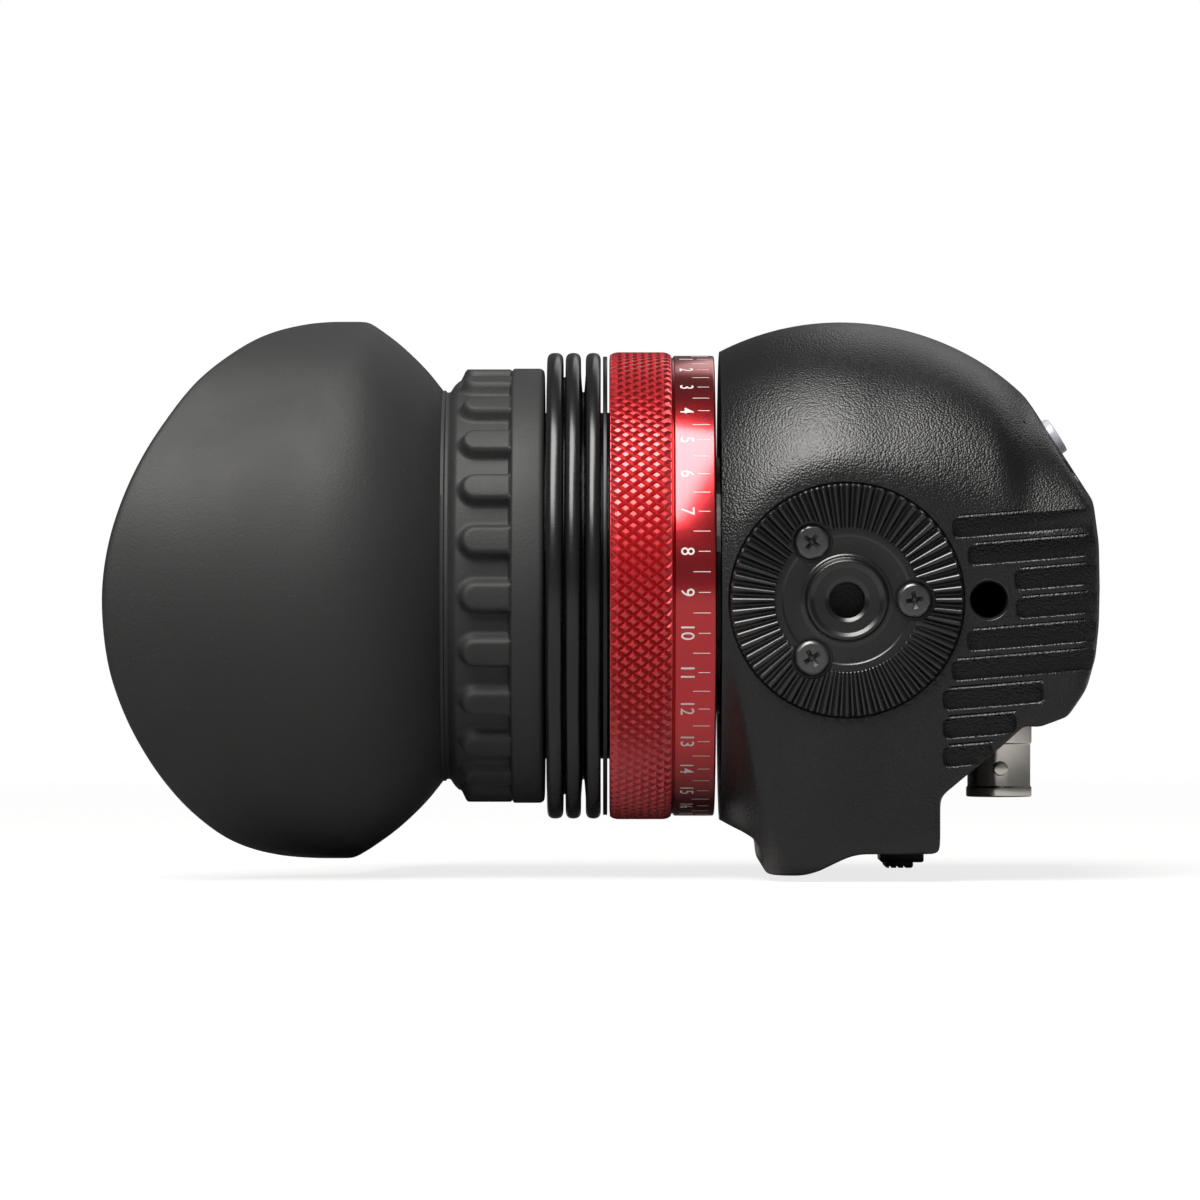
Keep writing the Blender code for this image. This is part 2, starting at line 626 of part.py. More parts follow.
def body_loft(name, inset, start_x, end_x, material=None):
    places = [start_x + share * (end_x - start_x) for share in STATION_SHARES]
    return loft(name, [body_section(x, inset) for x in places], material)


def side_outline():
    """The body's outline seen from its side, as (x, z) points, clockwise from above the facet."""
    above = FACET_TOP - FACET_ALONG * BALL_RADIUS * 0.6
    points = [above, FACET_TOP, FACET_FOOT]
    points += [ball_point(share) for share in FRONT_SHARES + CHIN_SHARES]
    skirt_foot_z = SKIRT_FOOT_SHARE * BALL_RADIUS
    points += [Vector((BOX_RIGHT_X + GAP, skirt_foot_z)), Vector((BOX_RIGHT_X, skirt_foot_z - GAP)),
               Vector((BOX_RIGHT_X, BOX_BOTTOM_Z + BITE)), Vector((BOX_RIGHT_X - BITE, BOX_BOTTOM_Z))]
    box_width = BOX_RIGHT_X - BOX_LEFT_X
    for across, down in RIDGE_SHARES:
        points.append(Vector((BOX_LEFT_X + across * box_width, BOX_BOTTOM_Z - down * RIDGE_DROP)))
    for reach in (1.02, 1.1, 1.2, 1.35, -FACE_X / -BOX_LEFT_X * 1.1):
        x = BOX_LEFT_X * reach
        drop = BITE if reach < 1.1 else 0.0
        points.append(Vector((x, -sqrt(BALL_RADIUS ** 2 - x ** 2) - drop)))
    left = FACE_X - OVERRUN
    points += [Vector((left, points[-1].y)), Vector((left, above.y))]
    return points


def front_layer(depth, top_share, bottom_drop, overrun):
    """The outline of a bent sheet along the slanted facet and the front face, from outside the body
    to a depth inside it. top_share says how far down the facet it starts."""
    start = FACET_TOP + (FACET_FOOT - FACET_TOP) * top_share
    end = ball_point(FRONT_SHARES[-1]) + Vector((0.0, bottom_drop))
    corner_out = (FACET_OUT + Vector((1.0, 0.0))).normalized()
    stretch = 1 / corner_out.dot(FACET_OUT)
    line = ((start, FACET_OUT, 1.0), (FACET_FOOT, corner_out, stretch), (end, Vector((1.0, 0.0)), 1.0))
    outer = [place + out * overrun * scale for place, out, scale in line]
    inner = [place - out * depth * scale for place, out, scale in reversed(line)]
    return outer + inner


def groove_cutters():
    """Rounded slots that slope up towards the front, on both sides of the front block."""
    slope = radians(GROOVE_SLOPE)
    along = Vector((cos(slope), sin(slope)))
    down = Vector((sin(slope), -cos(slope)))
    first_x = GROOVE_START_SHARES[0] * BALL_RADIUS
    cutters = []
    for number, (start, end) in enumerate(zip(GROOVE_START_SHARES, GROOVE_END_SHARES)):
        x0 = start * BALL_RADIUS
        top = Vector((x0, GROOVE_TOP_Z - number * GROOVE_PITCH + (x0 - first_x) * along.y / along.x))
        length = (end - start) * BALL_RADIUS
        corners = ((0.0, 0.0, 1, 1), (length, 0.0, -1, 1), (length, GROOVE_HEIGHT, -1, -1),
                   (0.0, GROOVE_HEIGHT, 1, -1))
        outline = []
        for index, (across, drop, in_x, in_z) in enumerate(corners):
            turns = ((1, 0), (0.3, 0.3), (0, 1)) if index % 2 else ((0, 1), (0.3, 0.3), (1, 0))
            for tx, tz in turns:
                outline.append(top + along * (across + in_x * tx * GROOVE_CORNER)
                               + down * (drop + in_z * tz * GROOVE_CORNER))
        floor = BODY_HALF_WIDTH - GROOVE_DEPTH
        for side, name in ((-1, "near"), (1, "far")):
            span = sorted((side * floor, side * (floor + OVERRUN)))
            cutters.append(prism(f"groove_{name}_{number + 1}", outline, *span))
    return cutters


def cavity_cutter():
    """The room inside the shell, round the battery bay's walls and the bosses that it leaves."""
    cavity = body_loft("cavity", BODY_WALL, FACE_X + FACE_WALL, FRONT_X)
    depth = PLATE_THICKNESS + GAP + PLATE_LEDGE
    inner = front_layer(depth, -1.0, -BALL_RADIUS / 8, 0.0)[3:]
    inner = [Vector((inner[0].x, LIP_TOP_Z))] + inner[1:]
    outline = inner + [Vector((FACE_X, inner[-1].y)), Vector((FACE_X, LIP_TOP_Z))]
    keep(cavity, prism("cavity_side", outline, -BODY_HALF_WIDTH, BODY_HALF_WIDTH))
    below = BOX_BOTTOM_Z - RIDGE_DROP - OVERRUN
    wide = BODY_HALF_WIDTH + OVERRUN
    block = box("bay_walls", (BOX_LEFT_X, -wide, below), (BOX_RIGHT_X, wide, ROOF_Z))
    boss_y = (-wide, BAY_END_Y - CONTACT_BLOCK_SIZE[1] - 2 * GAP)
    rosette_boss = cylinder("rosette_boss", (0, boss_y[0], ROSETTE_Z), (0, boss_y[1], ROSETTE_Z),
                            ROSETTE_RADIUS, steps=ROUND_STEPS // 2)
    insert_end = -BODY_HALF_WIDTH + SIDE_HOLE_LIP + GAP + INSERT_LENGTH
    insert_boss = cylinder("insert_boss", (SIDE_HOLE_X, -wide, ROSETTE_Z), (SIDE_HOLE_X, insert_end, ROSETTE_Z),
                           INSERT_RADIUS + BOX_WALL)
    cut(cavity, block, rosette_boss, insert_boss)
    half_x = MAIN_BOARD_HALF_LENGTH - BOARD_MARGIN
    half_y = MAIN_BOARD_HALF_WIDTH - BOARD_MARGIN
    for index, (sx, sy) in enumerate(((-1, -1), (1, -1), (-1, 1), (1, 1))):
        x = max(MAIN_BOARD_CENTRE_X + sx * half_x, BOX_LEFT_X + POST_RADIUS)
        x = min(x, BOX_RIGHT_X - POST_RADIUS)
        cut(cavity, cylinder(f"roof_post_{index}", (x, sy * half_y, ROOF_Z - BITE),
                             (x, sy * half_y, ROOF_Z + POST_HEIGHT), POST_RADIUS, steps=TINY_STEPS))
        x = (JACK_X - BAY_LIP_WIDTH * 2) if sx < 0 else (JACK_X + BAY_LIP_WIDTH * 2)
        y = sy * (BAY_HALF_WIDTH - BAY_LIP_WIDTH + POST_RADIUS + GAP)
        cut(cavity, cylinder(f"lip_post_{index}", (x, y, LIP_TOP_Z - BITE), (x, y, INTERFACE_Z - GAP),
                             POST_RADIUS, steps=TINY_STEPS))
    return cavity


def main_housing():
    shell = body_loft("main_housing", 0.0, FACE_X, BALL_RADIUS * BLOCK_END_SHARE, BODY_PAINT)
    keep(shell, prism("side_profile", side_outline(), -BODY_HALF_WIDTH - OVERRUN, BODY_HALF_WIDTH + OVERRUN))
    wide = BODY_HALF_WIDTH + OVERRUN
    below = BOX_BOTTOM_Z - OVERRUN
    cut(shell, cavity_cutter())
    cut(shell, box("battery_bay", (BAY_LEFT_X, BAY_END_Y, BAY_BOTTOM_Z), (BAY_RIGHT_X, wide, BAY_TOP_Z)))
    half = [size / 2 + GAP for size in CONTACT_BLOCK_SIZE]
    pocket_end = BAY_END_Y - CONTACT_BLOCK_SIZE[1] - GAP
    cut(shell, box("contact_pocket",
                   (BOX_CENTRE_X - half[0], pocket_end, CONTACT_BLOCK_Z - half[2]),
                   (BOX_CENTRE_X + half[0], BAY_END_Y + BITE, CONTACT_BLOCK_Z + half[2])))
    cut(shell, cylinder("face_bore", (FACE_X - OVERRUN, 0, 0), (BOX_LEFT_X - GAP - DISPLAY_THICKNESS, 0, 0),
                        NECK_RADIUS + GAP, steps=ROUND_STEPS))
    cut(shell, box("bay_recess", (BOX_RIGHT_X, -BAY_HALF_WIDTH, below), (BAY_END_X, BAY_HALF_WIDTH, LIP_BOTTOM_Z)))
    inner = BAY_HALF_WIDTH - BAY_LIP_WIDTH
    cut(shell, box("bay_opening", (BOX_RIGHT_X + BAY_LIP_WIDTH, -inner, LIP_BOTTOM_Z - BITE),
                   (BAY_END_X - BAY_FRONT_LIP_WIDTH, inner, LIP_TOP_Z + BITE)))
    cut(shell, prism("plate_rebate", front_layer(PLATE_THICKNESS + GAP, REBATE_TOP_SHARE, -GAP, OVERRUN),
                     -PLATE_HALF_WIDTH - GAP, PLATE_HALF_WIDTH + GAP))
    opening = PLATE_HALF_WIDTH - PLATE_LEDGE_WIDTH
    ledge = front_layer(PLATE_THICKNESS + GAP + PLATE_LEDGE + BITE, OPENING_TOP, PLATE_FOOT_LEDGE, -BITE)
    cut(shell, prism("plate_opening", ledge, -opening, opening))
    cut(shell, *rosette_cutters(), *side_hole_cutters(), *groove_cutters(), *latch_slot_cutters())
    for index, (place, out) in enumerate(plate_screw_places()):
        cut(shell, screw_hole(f"plate_pilot_{index}", place, out, PLATE_SCREW))
    return shell


# Rosette

def rosette_cutters():
    centre = Vector((0.0, 0.0, ROSETTE_Z))
    outside = Vector((0.0, -BODY_HALF_WIDTH - OVERRUN, 0.0))
    floor = Vector((0.0, ROSETTE_BACK_Y + GAP, 0.0))
    tap_end = Vector((0.0, ROSETTE_FACE_Y + HUB_TAP_DEPTH, 0.0))
    tools = [cylinder("rosette_pocket", centre + outside, centre + floor, ROSETTE_RADIUS + GAP, steps=ROUND_STEPS),
             cylinder("tap_pilot", centre + outside, centre + tap_end, HUB_TAP_RADIUS)]
    for index, place in enumerate(rosette_screw_places()):
        tools.append(screw_hole(f"rosette_pilot_{index}", place, Vector((0, -1, 0)), ROSETTE_SCREW))
    return tools


def rosette_screw_places():
    """The centre of each screw head's outer face."""
    places = []
    for angle in ROSETTE_SCREW_ANGLES:
        turn = radians(angle)
        places.append(Vector((ROSETTE_SCREW_CIRCLE * cos(turn), ROSETTE_FACE_Y + ROSETTE_SCREW_DROP,
                              ROSETTE_Z + ROSETTE_SCREW_CIRCLE * sin(turn))))
    return places


def rosette():
    """A toothed ring joined to a recessed disc, with a raised tapped hub and three counterbores."""
    rings = []
    for i in range(2 * ROSETTE_TEETH):
        angle = pi * i / ROSETTE_TEETH
        valley = i % 2
        points = []
        for radius in (TOOTH_INNER_RADIUS, ROSETTE_RADIUS):
            depth = valley * TOOTH_DEPTH * radius / ROSETTE_RADIUS
            points.append((radius, ROSETTE_FACE_Y + depth))
        points.append((ROSETTE_RADIUS, ROSETTE_FACE_Y + TOOTH_RING_THICKNESS))
        points.append((TOOTH_INNER_RADIUS, ROSETTE_FACE_Y + TOOTH_RING_THICKNESS))
        rings.append([(r * cos(angle), y, ROSETTE_Z + r * sin(angle)) for r, y in points])
    ring = loft("rosette", rings, HARD_BLACK, cyclic=True)

    def depth_point(depth):
        return Vector((0.0, ROSETTE_FACE_Y + depth, ROSETTE_Z))

    disc = cylinder("rosette_disc", depth_point(ROSETTE_FLOOR), depth_point(ROSETTE_THICKNESS),
                    ROSETTE_RADIUS - BITE, steps=ROUND_STEPS)
    hub = cylinder("rosette_hub", depth_point(HUB_BEVEL), depth_point(ROSETTE_FLOOR + BITE), HUB_RADIUS, steps=24)
    bevel = cylinder("rosette_hub_bevel", depth_point(0.0), depth_point(HUB_BEVEL), HUB_RADIUS - HUB_BEVEL,
                     steps=24, end_radius=HUB_RADIUS)
    join(ring, disc, hub, bevel)
    tap = cylinder("hub_tap", depth_point(-OVERRUN), depth_point(OVERRUN), HUB_TAP_RADIUS, steps=24)
    cut(ring, tap)
    for index, place in enumerate(rosette_screw_places()):
        cut(ring, screw_hole(f"rosette_counterbore_{index}", place, Vector((0, -1, 0)), ROSETTE_SCREW))
    return ring


# Screws

def screw_hole(name, place, out, sizes):
    """A counterbore and a clearance hole that a screw of these sizes fits with the usual gap."""
    head_radius, head_height, shank_radius, shank_length = sizes
    start = place + out * OVERRUN
    head_end = place - out * (head_height + GAP)
    hole = cylinder(name, start, head_end, head_radius + 1.5 * GAP, steps=TINY_STEPS * 2)
    end = place - out * (head_height + shank_length + GAP)
    join(hole, cylinder(name + "_shank", head_end + out * BITE, end, shank_radius + GAP, steps=TINY_STEPS))
    return hole


def screw(name, place, out, sizes, material):
    """A pan head with a cross recess, on a plain shank."""
    head_radius, head_height, shank_radius, shank_length = sizes
    head_end = place - out * head_height
    obj = cylinder(name, place, head_end, head_radius, material, steps=TINY_STEPS * 2)
    join(obj, cylinder(name + "_shank", head_end + out * BITE / 2, head_end - out * shank_length, shank_radius,
                       steps=TINY_STEPS))
    length = head_radius * DRIVE_SLOT_LENGTH_SHARE / 2
    width = head_radius * DRIVE_SLOT_WIDTH_SHARE / 2
    for index, half in enumerate(((length, width), (width, length))):
        slot = box(f"{name}_slot_{index}", (-half[0], -half[1], -DRIVE_SLOT_DEPTH),
                   (half[0], half[1], DRIVE_SLOT_DEPTH))
        slot.rotation_mode = "QUATERNION"
        slot.rotation_quaternion = out.to_track_quat("Z", "Y")
        slot.location = place
        cut(obj, slot)
    return obj


def plate_screw_places():
    """Two screws on the slanted facet and two on the front face, as (head centre, outward direction)."""
    across = PLATE_HALF_WIDTH - PLATE_SCREW_INSET
    facet_out = Vector((FACET_OUT.x, 0.0, FACET_OUT.y))
    facet_centre = FACET_TOP + (FACET_FOOT - FACET_TOP) * PLATE_SCREW_SHARE
    chin = ball_point(FRONT_SHARES[-1])
    places = []
    for side in (-1, 1):
        places.append((shell_point(facet_centre, side * across) - facet_out * GAP, facet_out))
        front = Vector((chin.x - GAP, side * across, chin.y + PLATE_LEDGE_WIDTH / 2))
        places.append((front, Vector((1, 0, 0))))
    return places


# Second tapped hole

def side_hole_cutters():
    lip = -BODY_HALF_WIDTH + SIDE_HOLE_LIP
    end = lip + INSERT_LENGTH + 2 * GAP + BITE
    hole = cylinder("side_hole", (SIDE_HOLE_X, -BODY_HALF_WIDTH - OVERRUN, ROSETTE_Z), (SIDE_HOLE_X, lip + BITE, ROSETTE_Z),
                    SIDE_HOLE_RADIUS, steps=24)
    bore = cylinder("insert_bore", (SIDE_HOLE_X, lip, ROSETTE_Z), (SIDE_HOLE_X, end, ROSETTE_Z), INSERT_RADIUS + GAP,
                    steps=24)
    return hole, bore


def side_insert():
    start = -BODY_HALF_WIDTH + SIDE_HOLE_LIP + GAP
    sleeve = cylinder("side_insert", (SIDE_HOLE_X, start, ROSETTE_Z), (SIDE_HOLE_X, start + INSERT_LENGTH, ROSETTE_Z),
                      INSERT_RADIUS, GREY_METAL, steps=24)
    cut(sleeve, cylinder("insert_tap", (SIDE_HOLE_X, start - OVERRUN, ROSETTE_Z),
                         (SIDE_HOLE_X, start + INSERT_LENGTH + OVERRUN, ROSETTE_Z), SIDE_HOLE_RADIUS - GAP / 2))


# Front plate and controls

def facet_place(share, across, depth):
    """A point at a share of the way down the facet, at a depth under its surface."""
    flat = FACET_TOP + (FACET_FOOT - FACET_TOP) * share - FACET_OUT * depth
    return shell_point(flat, across)


def button_places():
    return [(2 * index / (BUTTON_COUNT - 1) - 1) * BUTTON_REACH for index in range(BUTTON_COUNT)]


def front_plate():
    """A bent plate, flush in the shell, with button holes, a joystick hole and posts behind it."""
    plate = body_loft("front_plate", 0.0, FACE_X, BALL_RADIUS * BLOCK_END_SHARE, BODY_PAINT)
    keep(plate, prism("plate_profile", side_outline(), -BODY_HALF_WIDTH - OVERRUN, BODY_HALF_WIDTH + OVERRUN))
    keep(plate, prism("plate_layer", front_layer(PLATE_THICKNESS, PLATE_TOP_SHARE, 0.0, OVERRUN), -PLATE_HALF_WIDTH,
                      PLATE_HALF_WIDTH))
    for index, across in enumerate((-1, 1)):
        y = across * (KEY_BOARD_HALF_WIDTH - PLATE_POST_RADIUS)
        join(plate, cylinder(f"plate_post_{index}", facet_place(BUTTON_PLACE_SHARE, y, PLATE_THICKNESS - BITE),
                             facet_place(BUTTON_PLACE_SHARE, y, KEY_BOARD_DEPTH - GAP), PLATE_POST_RADIUS,
                             steps=TINY_STEPS))
    for index, y in enumerate(button_places()):
        cut(plate, cylinder(f"button_hole_{index}", facet_place(BUTTON_PLACE_SHARE, y, -OVERRUN),
                            facet_place(BUTTON_PLACE_SHARE, y, PLATE_THICKNESS + GAP), BUTTON_RADIUS + GAP))
    cut(plate, cylinder("joystick_hole", (JOYSTICK_PIVOT_X, 0, JOYSTICK_Z), (FRONT_X + OVERRUN, 0, JOYSTICK_Z),
                        JOYSTICK_HOLE_RADIUS, steps=24))
    for index, (place, out) in enumerate(plate_screw_places()):
        cut(plate, screw_hole(f"plate_screw_hole_{index}", place, out, PLATE_SCREW))
        screw(f"plate_screw_{index + 1}", place, out, PLATE_SCREW, HARD_BLACK)
    return plate


def function_buttons():
    for index, y in enumerate(button_places()):
        name = f"function_button_{index + 1}"
        flange_depth = PLATE_THICKNESS + GAP
        stem_depth = flange_depth + BUTTON_FLANGE
        cap = cylinder(name, facet_place(BUTTON_PLACE_SHARE, y, -BUTTON_PROUD),
                       facet_place(BUTTON_PLACE_SHARE, y, flange_depth + BITE), BUTTON_RADIUS, BUTTON_RESIN)
        flange = cylinder(name + "_flange", facet_place(BUTTON_PLACE_SHARE, y, flange_depth),
                          facet_place(BUTTON_PLACE_SHARE, y, stem_depth), BUTTON_FLANGE_RADIUS)
        stem = cylinder(name + "_stem", facet_place(BUTTON_PLACE_SHARE, y, stem_depth - BITE),
                        facet_place(BUTTON_PLACE_SHARE, y, stem_depth + BUTTON_STEM), BUTTON_STEM_RADIUS,
                        steps=TINY_STEPS)
        join(cap, flange, stem)
        set_origin(cap, facet_place(BUTTON_PLACE_SHARE, y, 0.0))


def facet_box(name, share, centre_y, depths, half_along, half_across, material=None):
    """A block lying parallel to the facet, between two depths under its surface."""
    near = facet_place(share, centre_y, depths[0])
    far = facet_place(share, centre_y, depths[1])
    half_depth = (far - near).length / 2
    obj = box(name, (-half_along, -half_across, -half_depth), (half_along, half_across, half_depth), material)
    obj.location = (near + far) / 2
    turn = Matrix((Vector((FACET_ALONG.x, 0.0, FACET_ALONG.y)), Vector((0.0, 1.0, 0.0)),
                   Vector((FACET_ALONG.x, 0.0, FACET_ALONG.y)).cross(Vector((0.0, 1.0, 0.0))))).transposed()
    obj.rotation_mode = "QUATERNION"
    obj.rotation_quaternion = turn.to_quaternion()
    return obj


def key_board():
    depth = KEY_BOARD_DEPTH
    board = facet_box("key_board", BUTTON_PLACE_SHARE, 0.0, (depth, KEY_BOARD_BACK), KEY_BOARD_HALF_LENGTH,
                      KEY_BOARD_HALF_WIDTH, BOARD)
    for index, y in enumerate(button_places()):
        join(board, facet_box(f"switch_{index}", BUTTON_PLACE_SHARE, y, (depth - SWITCH_HEIGHT, depth + BITE),
                              SWITCH_SIZE / 2, SWITCH_SIZE / 2))


def joystick():
    """A cap on a rod that tips in a two-axis gimbal, in a cup behind the front plate."""
    z = JOYSTICK_Z
    plate_back = FACET_FOOT.x - PLATE_THICKNESS
    pivot = Vector((JOYSTICK_PIVOT_X, 0.0, z))
    cup_start = plate_back - GAP
    cup_end = JOYSTICK_PIVOT_X - BASE_DEPTH_BEHIND_PIVOT - BASE_FLOOR
    cup = cylinder("joystick_base", (cup_end, 0, z), (cup_start, 0, z), BASE_BORE + BASE_WALL, BLACK_PLASTIC, steps=24)
    cut(cup, cylinder("base_bore", (cup_end + BASE_FLOOR, 0, z), (cup_start + OVERRUN, 0, z), BASE_BORE, steps=24))

    yoke = cylinder("joystick_yoke", pivot - Vector((YOKE_HALF_THICKNESS, 0, 0)),
                    pivot + Vector((YOKE_HALF_THICKNESS, 0, 0)), YOKE_RADIUS, GREY_METAL)
    across = Vector((0, BASE_BORE - GAP, 0))
    join(yoke, cylinder("yoke_pins", pivot - across, pivot + across, JOYSTICK_PIN_RADIUS, steps=TINY_STEPS))
    cut(yoke, cylinder("yoke_bore", pivot - Vector((OVERRUN, 0, 0)), pivot + Vector((OVERRUN, 0, 0)), YOKE_BORE))
    set_origin(yoke, pivot)

    cap_top = FRONT_X - JOYSTICK_CAP_DROP
    cap_under = cap_top - JOYSTICK_CAP_THICKNESS
    rod_tip = cap_under - GAP
    rod = cylinder("joystick_shaft", pivot - Vector((JOYSTICK_ROD_RADIUS, 0, 0)), (rod_tip - JOYSTICK_TRAVEL, 0, z),
                   JOYSTICK_ROD_RADIUS, GREY_METAL, steps=12)
    upright = Vector((0, 0, YOKE_BORE - GAP))
    join(rod, cylinder("shaft_pins", pivot - upright, pivot + upright, JOYSTICK_PIN_RADIUS, steps=TINY_STEPS))
    set_origin(rod, pivot)

    cap = cylinder("joystick_cap", (cap_under, 0, z), (cap_top, 0, z), JOYSTICK_CAP_RADIUS, BLACK_PLASTIC, steps=24)
    join(cap, cylinder("cap_skirt", (cap_under - JOYSTICK_SKIRT, 0, z), (cap_under + BITE, 0, z),
                       JOYSTICK_SKIRT_RADIUS))
    cut(cap, cylinder("cap_socket", (cap_under - OVERRUN, 0, z), (cap_under, 0, z), JOYSTICK_ROD_RADIUS + GAP))
    set_origin(cap, pivot)


# Connectors

def interface_hole_tools(prefix, low_z, high_z, room):
    """The jack, power and socket shapes, grown by a gap, as cutters for the connector panel."""
    tools = [cylinder(prefix + "_jack", (JACK_X, 0, low_z), (JACK_X, 0, high_z), JACK_RADIUS + room, steps=24),
             cylinder(prefix + "_power", (JACK_X, POWER_Y, low_z), (JACK_X, POWER_Y, high_z), POWER_RADIUS + room)]
    for index, x in enumerate(hdmi_places()):
        half_x = HDMI_THICKNESS / 2 + room
        half_y = HDMI_WIDTH / 2 + room
        tools.append(box(f"{prefix}_hdmi_{index}", (x - half_x, HDMI_Y - half_y, low_z),
                         (x + half_x, HDMI_Y + half_y, high_z)))
    return tools


def hdmi_places():
    return JACK_X - HDMI_SPREAD_X, JACK_X + HDMI_SPREAD_X


def connector_panel():
    panel = box("connector_panel", (BOX_RIGHT_X + GAP, -BAY_HALF_WIDTH + GAP, PANEL_BOTTOM_Z),
                (BAY_END_X - GAP, BAY_HALF_WIDTH - GAP, PANEL_TOP_Z), HARD_BLACK)
    cut(panel, *interface_hole_tools("panel_hole", PANEL_BOTTOM_Z - BITE, PANEL_TOP_Z + BITE, GAP))


def interface_board():
    low_x = BOX_RIGHT_X + BAY_LIP_WIDTH
    half_y = BAY_HALF_WIDTH + POST_RADIUS - GAP
    box("interface_board", (low_x, -half_y, INTERFACE_Z),
        (BAY_END_X - INTERFACE_END_ROOM, half_y, INTERFACE_Z + BOARD_THICKNESS), BOARD)


def bnc_jack():
    """A bayonet jack pointing down, its thin nut, and its insulated contact."""
    top = INTERFACE_Z - GAP
    jack = cylinder("bnc_jack", (JACK_X, 0, JACK_BOTTOM_Z), (JACK_X, 0, top), JACK_RADIUS, NICKEL, steps=32)
    lug_z = JACK_BOTTOM_Z + JACK_LUG_RISE
    reach = Vector((0, JACK_RADIUS + JACK_LUG_HEIGHT, 0))
    centre = Vector((JACK_X, 0, lug_z))
    join(jack, cylinder("jack_lugs", centre - reach, centre + reach, JACK_LUG_RADIUS, steps=12))
    bore_top = JACK_BOTTOM_Z + JACK_BORE_DEPTH
    cut(jack, cylinder("jack_bore", (JACK_X, 0, JACK_BOTTOM_Z - OVERRUN), (JACK_X, 0, bore_top), JACK_RADIUS - JACK_WALL,
                       steps=32))
    nut_top = PANEL_BOTTOM_Z - GAP
    nut = cylinder("bnc_nut", (JACK_X, 0, nut_top - JACK_NUT_THICKNESS), (JACK_X, 0, nut_top), JACK_NUT_RADIUS, NICKEL,
                   steps=6)
    cut(nut, cylinder("nut_bore", (JACK_X, 0, nut_top - OVERRUN), (JACK_X, 0, nut_top + OVERRUN), JACK_RADIUS + GAP,
                      steps=32))
    contact_top = bore_top - GAP
    contact = cylinder("bnc_contact", (JACK_X, 0, contact_top - CONTACT_LENGTH), (JACK_X, 0, contact_top),
                       CONTACT_RADIUS, WHITE_PLASTIC)
    pin_end = contact_top - CONTACT_LENGTH - CONTACT_PIN_LENGTH
    join(contact, cylinder("contact_pin", (JACK_X, 0, pin_end), (JACK_X, 0, contact_top - BITE), CONTACT_PIN_RADIUS,
                           steps=TINY_STEPS))


def hdmi_sockets():
    half_x = HDMI_THICKNESS / 2
    half_y = HDMI_WIDTH / 2
    top = INTERFACE_Z - GAP
    for index, x in enumerate(hdmi_places()):
        name = f"hdmi_socket_{index + 1}"
        socket = box(name, (x - half_x, HDMI_Y - half_y, PANEL_BOTTOM_Z), (x + half_x, HDMI_Y + half_y, top), GREY_METAL)
        mouth = box(name + "_mouth", (x - half_x + HDMI_WALL, HDMI_Y - half_y + HDMI_WALL, PANEL_BOTTOM_Z - BITE),
                    (x + half_x - HDMI_WALL, HDMI_Y + half_y - HDMI_WALL, PANEL_BOTTOM_Z + HDMI_DEPTH))
        tongue = box(name + "_tongue", (x - HDMI_TONGUE / 2, HDMI_Y - half_y / 2, PANEL_BOTTOM_Z + HDMI_WALL),
                     (x + HDMI_TONGUE / 2, HDMI_Y + half_y / 2, PANEL_BOTTOM_Z + HDMI_DEPTH + BITE))
        cut(mouth, tongue)
        cut(socket, mouth)


def power_socket():
    top = INTERFACE_Z - GAP
    socket = cylinder("power_socket", (JACK_X, POWER_Y, PANEL_BOTTOM_Z), (JACK_X, POWER_Y, top), POWER_RADIUS, NICKEL)
    mouth = cylinder("power_mouth", (JACK_X, POWER_Y, PANEL_BOTTOM_Z - BITE),
                     (JACK_X, POWER_Y, PANEL_BOTTOM_Z + HDMI_DEPTH), POWER_BORE)
    cut(mouth, cylinder("power_pin", (JACK_X, POWER_Y, PANEL_BOTTOM_Z + HDMI_WALL),
                        (JACK_X, POWER_Y, PANEL_BOTTOM_Z + HDMI_DEPTH + BITE), CONTACT_PIN_RADIUS, steps=TINY_STEPS))
    cut(socket, mouth)


# Electronics and display

def electronics():
    half_y = MAIN_BOARD_HALF_WIDTH
    x = MAIN_BOARD_CENTRE_X
    top = MAIN_BOARD_TOP_Z
    board = box("main_board", (BAY_LEFT_X, -half_y, MAIN_BOARD_Z), (MAIN_BOARD_END_X, half_y, top), BOARD)
    half_chip = CHIP_SIZE / 2
    join(board, box("main_chip", (x - half_chip, -half_chip, top - BITE),
                    (x + half_chip, half_chip, top + CHIP_HEIGHT)))
    half_x = MAIN_BOARD_HALF_LENGTH - BOARD_MARGIN
    half_y = SPREADER_HALF_WIDTH
    box("heat_spreader", (x - half_x, -half_y, SPREADER_Z), (x + half_x, half_y, SPREADER_Z + SPREADER_THICKNESS),
        GREY_METAL)
    width, depth, height = CONTACT_BLOCK_SIZE
    box("battery_contacts", (BOX_CENTRE_X - width / 2, BAY_END_Y - depth, CONTACT_BLOCK_Z - height / 2),
        (BOX_CENTRE_X + width / 2, BAY_END_Y, CONTACT_BLOCK_Z + height / 2), BLACK_PLASTIC)


